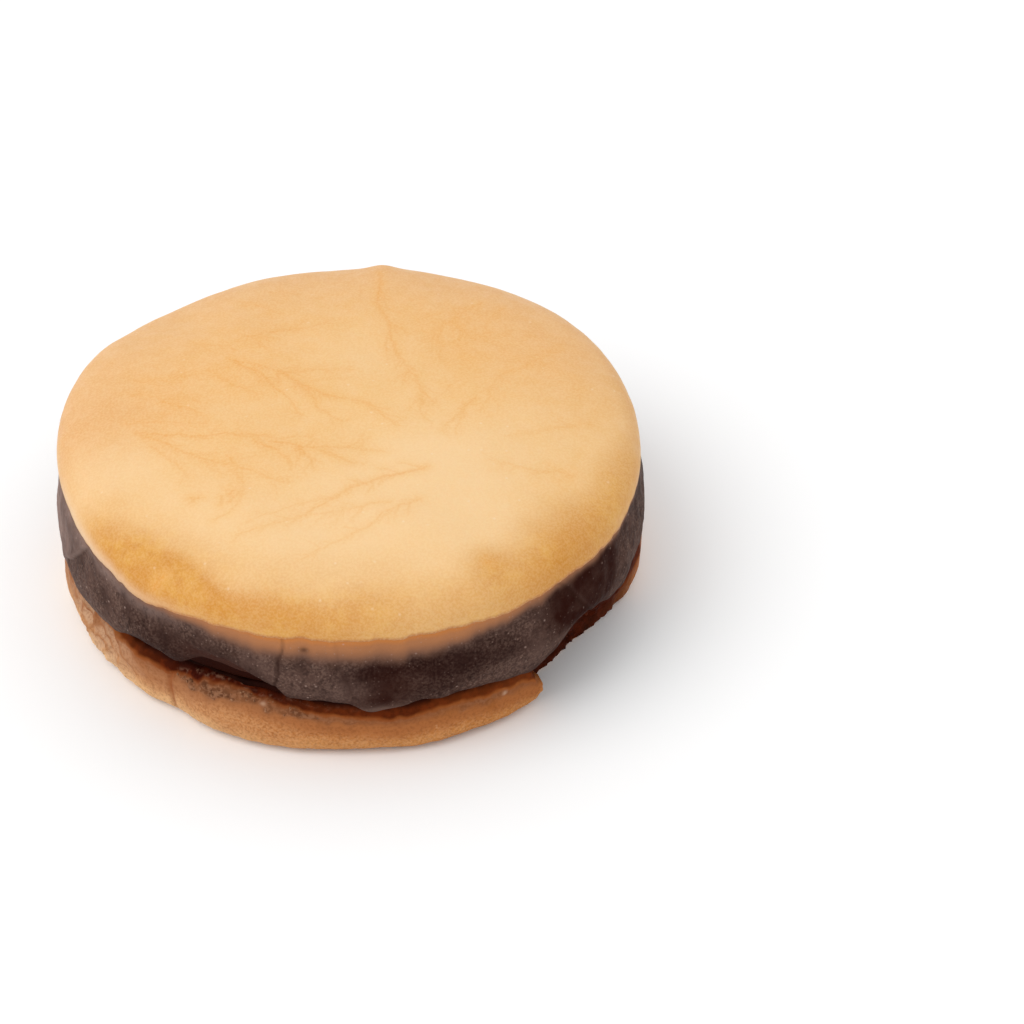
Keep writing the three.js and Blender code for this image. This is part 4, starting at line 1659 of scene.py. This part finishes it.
# %% [markdown]
# Over the skin come the marks: wine-red spots, which are partly painted shade at the front right,
# the dark thin edge with its painted shade, pale rims, the folds with their painted shade, and the
# tan glaze below the lid in three steps from grey-brown to orange. The last coats are the sugar
# crystals, the painted shade under the lap and the painted shade in the hollow under the edge. A
# faint white veil stands for the sheen of the open skin. A specular level that changes over the
# surface could do that too, but it is lost when the model is exported, so the level is low and
# even.

# %% Finish of the filling
def filling_marks(t, keep):
    tan = t.mask("tan_glaze")
    # wine-red spots, partly painted shade at the front right
    wine = t.times(t.mask("reddish"), t.span(t.noise(460, 3), 0.35, 0.65, 0.74, 0.98))
    return [
        (wine, seen_low(40, 9, 2)),
        # dark lower rim, partly painted shade
        (t.part(0.85, "thin_edge_and_shade"), seen_low(40, 16, 10)),
        (t.part(0.6, "pale_rim"), seen_low(118, 94, 84)),
        (t.part(0.65, "fold_lit"), seen_low(132, 110, 102)),
        (t.part(0.75, "fold"), seen_low(36, 16, 11)),
        (t.span(tan, 0.0, 0.45, 0.0, 0.9), seen_low(118, 84, 68)),
        (t.span(tan, 0.16, 0.75), seen_low(170, 113, 74)),
        (t.span(tan, 0.72, 0.98), seen_low(190, 120, 64)),
        (t.part(0.35, "fold"), seen_low(60, 34, 24)),
        (t.part(0.8, "dark_dots"), seen_low(56, 32, 22)),
        (t.times(t.times(specks_at(t, 2300, 0.30, 0.26), 0.56), keep), seen_low(166, 138, 126)),
        (t.times(t.times(specks_at(t, 1000, 0.20, 0.17), 0.66), keep), seen_low(190, 162, 150)),
        (t.part(0.9, "lap_shade"), seen_low(62, 34, 27)),
        # painted shade in the hollow under the edge
        (t.mask("under_edge"), seen_low(42, 15, 9)),
    ]


def filling_finish():
    material, t, shader = new_finish("bloomed_caramel")
    patches = t.times(clouds_at(t, 430, 0.50, 0.60), t.mask("mottled"))
    keep = kept_haze(t, patches)
    hidden = t.largest(t.mask("under_edge"), t.mask("lap_shade"))
    hidden = t.largest(hidden, t.part(0.85, "reddish"), t.part(0.7, "dull"))
    color = t.coats(caramel_skin(t, patches, keep), filling_marks(t, keep))
    color = t.blend(t.times(t.rest(hidden), 0.0045), color, WHITE)
    add_surface(t, shader, color, t.span(t.noise(1400, 3), 0.3, 0.7, 0.50, 0.68), specular=0.02)
    grains = t.plus(t.noise(1700, 3), t.times(t.noise(420, 2), 1.5))
    add_bump(t, shader, grains, depth=0.00012, strength=0.8)
    return material


filling_skin = filling_finish()
print(filling_skin.name, "has", len(filling_skin.node_tree.nodes), "nodes")

# %% [markdown]
# ### The bottom biscuit
#
# Baked dough under a thin glaze: tan on the wall, more golden near the foot, with light and dark
# grain, and darker towards the stain. Dough could be one brown with a noise in it. On the real
# piece its hue also turns from cool at the left to warm at the right, so each tone here has a
# cool and a warm colour, mixed by the mask of the warm side. That turn is partly the dough's own
# tone and partly painted light and shade: the warm right side is painted darker, away from the
# lamps, and the cool foot at the left is painted paler, as light from the floor.

# %% Glazed dough
def dark_grain(t):
    return clouds_at(t, 3000, 0.44, 0.68)


def dough_wall(t, rise):
    # Cool left and warm right: partly the dough's own tone, partly painted light and shade.
    side = t.mask("warm_and_shaded_side")
    cloudy = clouds_at(t, 200, 0.34, 0.66)
    cool = t.blend(cloudy, seen_low(176, 120, 78), seen_low(190, 136, 92))
    warm = t.blend(cloudy, seen_low(178, 108, 50), seen_low(188, 118, 58))
    # The pale cool foot at the left is painted light from the floor.
    foot = t.blend(side, seen_low(244, 202, 150), seen_low(192, 125, 60))
    middle = t.blend(side, seen_low(166, 113, 76), seen_low(168, 101, 52))
    upper = t.blend(side, seen_low(152, 96, 60), seen_low(146, 86, 46))
    return t.coats(t.blend(side, cool, warm), [
        (t.part(0.95, "foot_gold"), foot),
        (t.times(clouds_at(t, 3800, 0.36, 0.62), 0.38), seen_low(220, 168, 118)),
        (t.span(rise, -3.6, -1.5), middle),
        (t.span(rise, -1.3, -0.3), upper),
        # seam, partly painted shade in its groove
        (t.part(0.75, "seam"), seen_low(146, 78, 36)),
        # pale facets, partly painted highlight
        (t.part(0.75, "pale_facet"), seen_low(202, 162, 128)),
        # creases, painted shade
        (t.part(0.3, "crease"), seen_low(150, 96, 56)),
        (t.part(0.5, "streak"), seen_low(150, 84, 26)),
        (t.times(dark_grain(t), 0.37), seen_low(122, 66, 28)),
        (t.times(specks_at(t, 900, 0.12, 0.16), 0.45), seen_low(216, 176, 132)),
    ])


print("golden foot:", np.round(seen_low(192, 125, 60), 3))

# %% [markdown]
# The crust is gritty, from brown to grey-brown. The stain of the syrup goes over it in steps, by
# how far a point lies above the foot of the stain: an amber edge, red-brown flecks, and nearly
# black in the joint, which is partly painted shade. A single gradient would look airbrushed, and
# so the flecks come between.

# %% Crust and stain
def stain_coats(t, rise):
    # Depth of the stain, partly painted shade.
    thick = t.mask("stain_and_shade_depth")
    grit = t.blend(clouds_at(t, 2000, 0.40, 0.60), seen_low(94, 55, 33), seen_low(146, 102, 74))
    edge = t.blend(thick, seen_low(172, 100, 46), seen_low(126, 60, 22))
    flecks = t.blend(clouds_at(t, 800, 0.42, 0.62), seen_low(60, 14, 4), seen_low(92, 32, 9))
    soaked = t.blend(thick, seen_low(128, 62, 20), flecks)
    bare = t.rest(t.part(0.75, "crust"))
    crumbly = t.times(clouds_at(t, 2400, 0.42, 0.56), t.part(0.7, "crumb_line"))
    return [
        (t.part(0.6, "round_crust"), seen_low(134, 84, 52)),
        (t.part(0.85, "crust"), grit),
        (t.times(t.span(rise, -0.35, 0.05, 0.0, 0.85), bare), edge),
        (t.span(rise, 0.0, 0.5), soaked),
        # Nearly black in the joint: syrup and painted shade.
        (t.span(rise, 0.8, 1.7), seen_low(46, 14, 7)),
        (crumbly, seen_low(130, 92, 72)),
        # maroon right end, partly painted shade
        (t.part(0.85, "right_end"), seen_low(74, 25, 9)),
    ]


print("soaked joint:", np.round(seen_low(46, 14, 7), 3))

# %% [markdown]
# The broken edge is bare crumb, soaked from above: darkest at the top, where its dark red-brown
# is partly painted shade under the band. The underside is plain baked dough with small pores.
# Both could be materials of their own on chosen faces, but then they would end in a hard line. As
# coats with a mask they fade into the wall. Where the wall is dry, the faint veil stands for its
# sheen, as on the filling.

# %% Finish of the bottom biscuit
def bare_crumb(t):
    speckled = clouds_at(t, 900, 0.3, 0.7)
    # Dark red-brown crumb: partly soaked, partly painted shade, darkest at the top.
    low = t.blend(speckled, seen_low(42, 12, 4), seen_low(78, 27, 10))
    top = t.blend(speckled, seen_low(34, 9, 4), seen_low(72, 20, 7))
    return t.blend(t.mask("broken_top"), low, top)


def baked_underside(t):
    browned = t.blend(clouds_at(t, 110, 0.3, 0.7), seen_low(200, 144, 92), seen_low(168, 108, 60))
    grained = t.blend(t.times(dark_grain(t), 0.4), browned, seen_low(140, 86, 46))
    return t.blend(specks_at(t, 620, 0.5, 0.28), grained, seen_low(112, 66, 34))


def base_finish():
    material, t, shader = new_finish("baked_dough")
    ragged = t.span(t.noise(700, 3), 0.3, 0.7, -0.07, 0.07)
    rise = t.plus(t.mask("stain_rise"), ragged)
    dry = t.rest(t.largest(t.span(rise, -0.3, 0.3), t.mask("broken")))
    color = t.coats(t.coats(dough_wall(t, rise), stain_coats(t, rise)), [
        (t.mask("broken"), bare_crumb(t)),
        (t.part(0.85, "chip"), seen_low(206, 168, 140)),
        (t.mask("underside"), baked_underside(t)),
        (t.times(dry, 0.006), WHITE),
    ])
    add_surface(t, shader, color, t.span(t.noise(1100, 3), 0.3, 0.7, 0.45, 0.65), specular=0.02)
    pores = t.plus(t.noise(1500, 3), t.times(t.noise(350, 2), 1.4))
    add_bump(t, shader, pores, depth=0.00014, strength=0.8)
    return material


base_dough = base_finish()
print(base_dough.name, "has", len(base_dough.node_tree.nodes), "nodes")

# %% [markdown]
# ### Syrup and crumbs
#
# The syrup is nearly black where it is thick and amber where it is thin; its near-black follows
# the depth of the stain and is partly painted shade in the joint. It could be a clear, coloured
# liquid, but in a bead of half a millimetre nobody sees through it, so an opaque brown is enough.
# The crumbs come in two kinds: soaked ones on the broken edge and dry ones on the crust.

# %% Finishes of the syrup and the crumbs
def syrup_finish():
    material, t, shader = new_finish("dark_syrup")
    spots = clouds_at(t, 500, 0.3, 0.7)
    thin = t.blend(spots, seen_low(90, 38, 12), seen_low(130, 66, 22))
    thick = t.blend(spots, seen_low(22, 6, 3), seen_low(40, 12, 6))
    # Nearly black where the stain is deep, which is partly painted shade.
    color = t.blend(t.span(t.mask("stain_and_shade_depth"), 0.1, 0.6), thin, thick)
    add_surface(t, shader, color, t.span(t.noise(700, 2), 0.3, 0.7, 0.42, 0.56), specular=0.02)
    return material


def crumb_finish(name, dark, light):
    material, t, shader = new_finish(name)
    color = t.blend(clouds_at(t, 900, 0.3, 0.7), dark, light)
    add_surface(t, shader, color, t.span(t.noise(1500, 2), 0.3, 0.7, 0.6, 0.85), specular=0.15)
    add_bump(t, shader, t.noise(2500, 3), depth=0.00008, strength=0.8)
    return material


soaked_crumb = crumb_finish("soaked_crumb", seen_low(56, 18, 7), seen_low(104, 44, 18))
dry_crumb = crumb_finish("dry_crumb", seen_low(120, 78, 50), seen_low(166, 120, 88))
print("crumbs wear", soaked_crumb.name, "and", dry_crumb.name)

# %% [markdown]
# ## Dress the pieces
#
# Each mesh gets its finish and rides on the cookie's one body. The three main meshes replace a
# CAD layer each. The syrup and the crumbs have no layer of their own: they could be joined to the
# biscuit, but as pieces they can be left out by someone who wants a clean cookie.

# %% Dress the pieces
def dress(piece, finish, node):
    piece.data.materials.append(finish)
    if node:
        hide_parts(node)
    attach(piece, "root")
    print(piece.name, "wears", finish.name)


dress(lid_piece, lid_glaze, "top_biscuit")
dress(filling_piece, filling_skin, "filling")
dress(base_piece, base_dough, "bottom_biscuit")
dress(syrup_piece, syrup_finish(), None)
dress(torn_piece, soaked_crumb, None)
dress(crust_piece, dry_crumb, None)

# %% [markdown]
# ## The studio
#
# A product table is a wide white sheet, slightly overexposed, under soft light from all sides.
# A curved backdrop is often used for it. A flat floor and a white sky do the same here, because
# the camera looks down and never sees the horizon. The floor lies a hair below the foot, so
# that the two surfaces don't fight for the same place.

# %% Floor and background
TABLE_HALF = 3.0
TABLE_DROP = 0.00005
TABLE_COLOR = (0.93, 0.93, 0.93, 1)
SKY_STRENGTH = 0.88


def floor_piece(half):
    corners = [(-half, -half, 0), (half, -half, 0), (half, half, 0), (-half, half, 0)]
    mesh = bpy.data.meshes.new("table")
    mesh.from_pydata(corners, [], [(0, 1, 2, 3)])
    material = bpy.data.materials.new("white_table")
    material.use_nodes = True
    shader = material.node_tree.nodes["Principled BSDF"]
    shader.inputs["Base Color"].default_value = TABLE_COLOR
    shader.inputs["Roughness"].default_value = 0.9
    shader.inputs["Specular IOR Level"].default_value = 0.1
    mesh.materials.append(material)
    floor = placed("table", mesh)
    return floor


floor = floor_piece(TABLE_HALF)
floor.location.z = -TABLE_DROP
world = bpy.data.worlds.new("studio")
bpy.context.scene.world = world
world.use_nodes = True
sky = world.node_tree.nodes["Background"]
sky.inputs["Color"].default_value = WHITE
sky.inputs["Strength"].default_value = SKY_STRENGTH
bpy.context.scene.view_settings.view_transform = "Standard"
print("floor and sky ready")

# %% [markdown]
# Light from all sides alone is flat. One large disc lamp at the front left models the shapes,
# and a weaker one above lifts the crown. A sun lamp would be simpler, but its shadows are hard.
# Large discs give the soft edge that a shadow has in a studio.

# %% Lamps
def lamp(name, place, size, power, aim=(0, 0, 0.012)):
    light = bpy.data.lights.new(name, "AREA")
    light.shape = "DISK"
    light.size = size
    light.energy = power
    holder = placed(name, light)
    holder.location = place
    way = np.array(aim) - np.array(place)
    down = math.acos(-way[2] / np.linalg.norm(way))
    holder.rotation_euler = (down, 0, math.atan2(-way[0], way[1]))


lamp("soft_box", (-0.6, -0.3, 0.8), size=0.9, power=3.8)
lamp("top_box", (-0.1, 0.0, 1.1), size=0.9, power=1.0)

# %% [markdown]
# The camera looks down on the cookie as someone does who is about to pick it up. It could be
# close with a wide lens, which would swell the front. A longer lens from further away keeps the
# round outline calm. Its place is counted from the middle of the cookie.

# %% Camera
CAMERA_TILT = 39
LENS, SENSOR_WIDTH = 87.9, 36
CAMERA_PLACE = (0.0174, -0.2161, 0.1822)

view = bpy.data.cameras.new("camera")
view.lens = LENS
view.sensor_width = SENSOR_WIDTH
view.clip_start = 0.01
camera = placed("camera", view)
camera.location = np.array(CAMERA_PLACE) + centre
camera.rotation_euler = (math.radians(90 - CAMERA_TILT), 0, 0)
bpy.context.scene.camera = camera
print("camera looks down by", CAMERA_TILT, "degrees")

# %% [markdown]
# ## The box of the layers
#
# The meshes should fill the same box as the CAD layers that they replace. A look at the two
# would show a large slip in a size, but not one of half a millimetre.
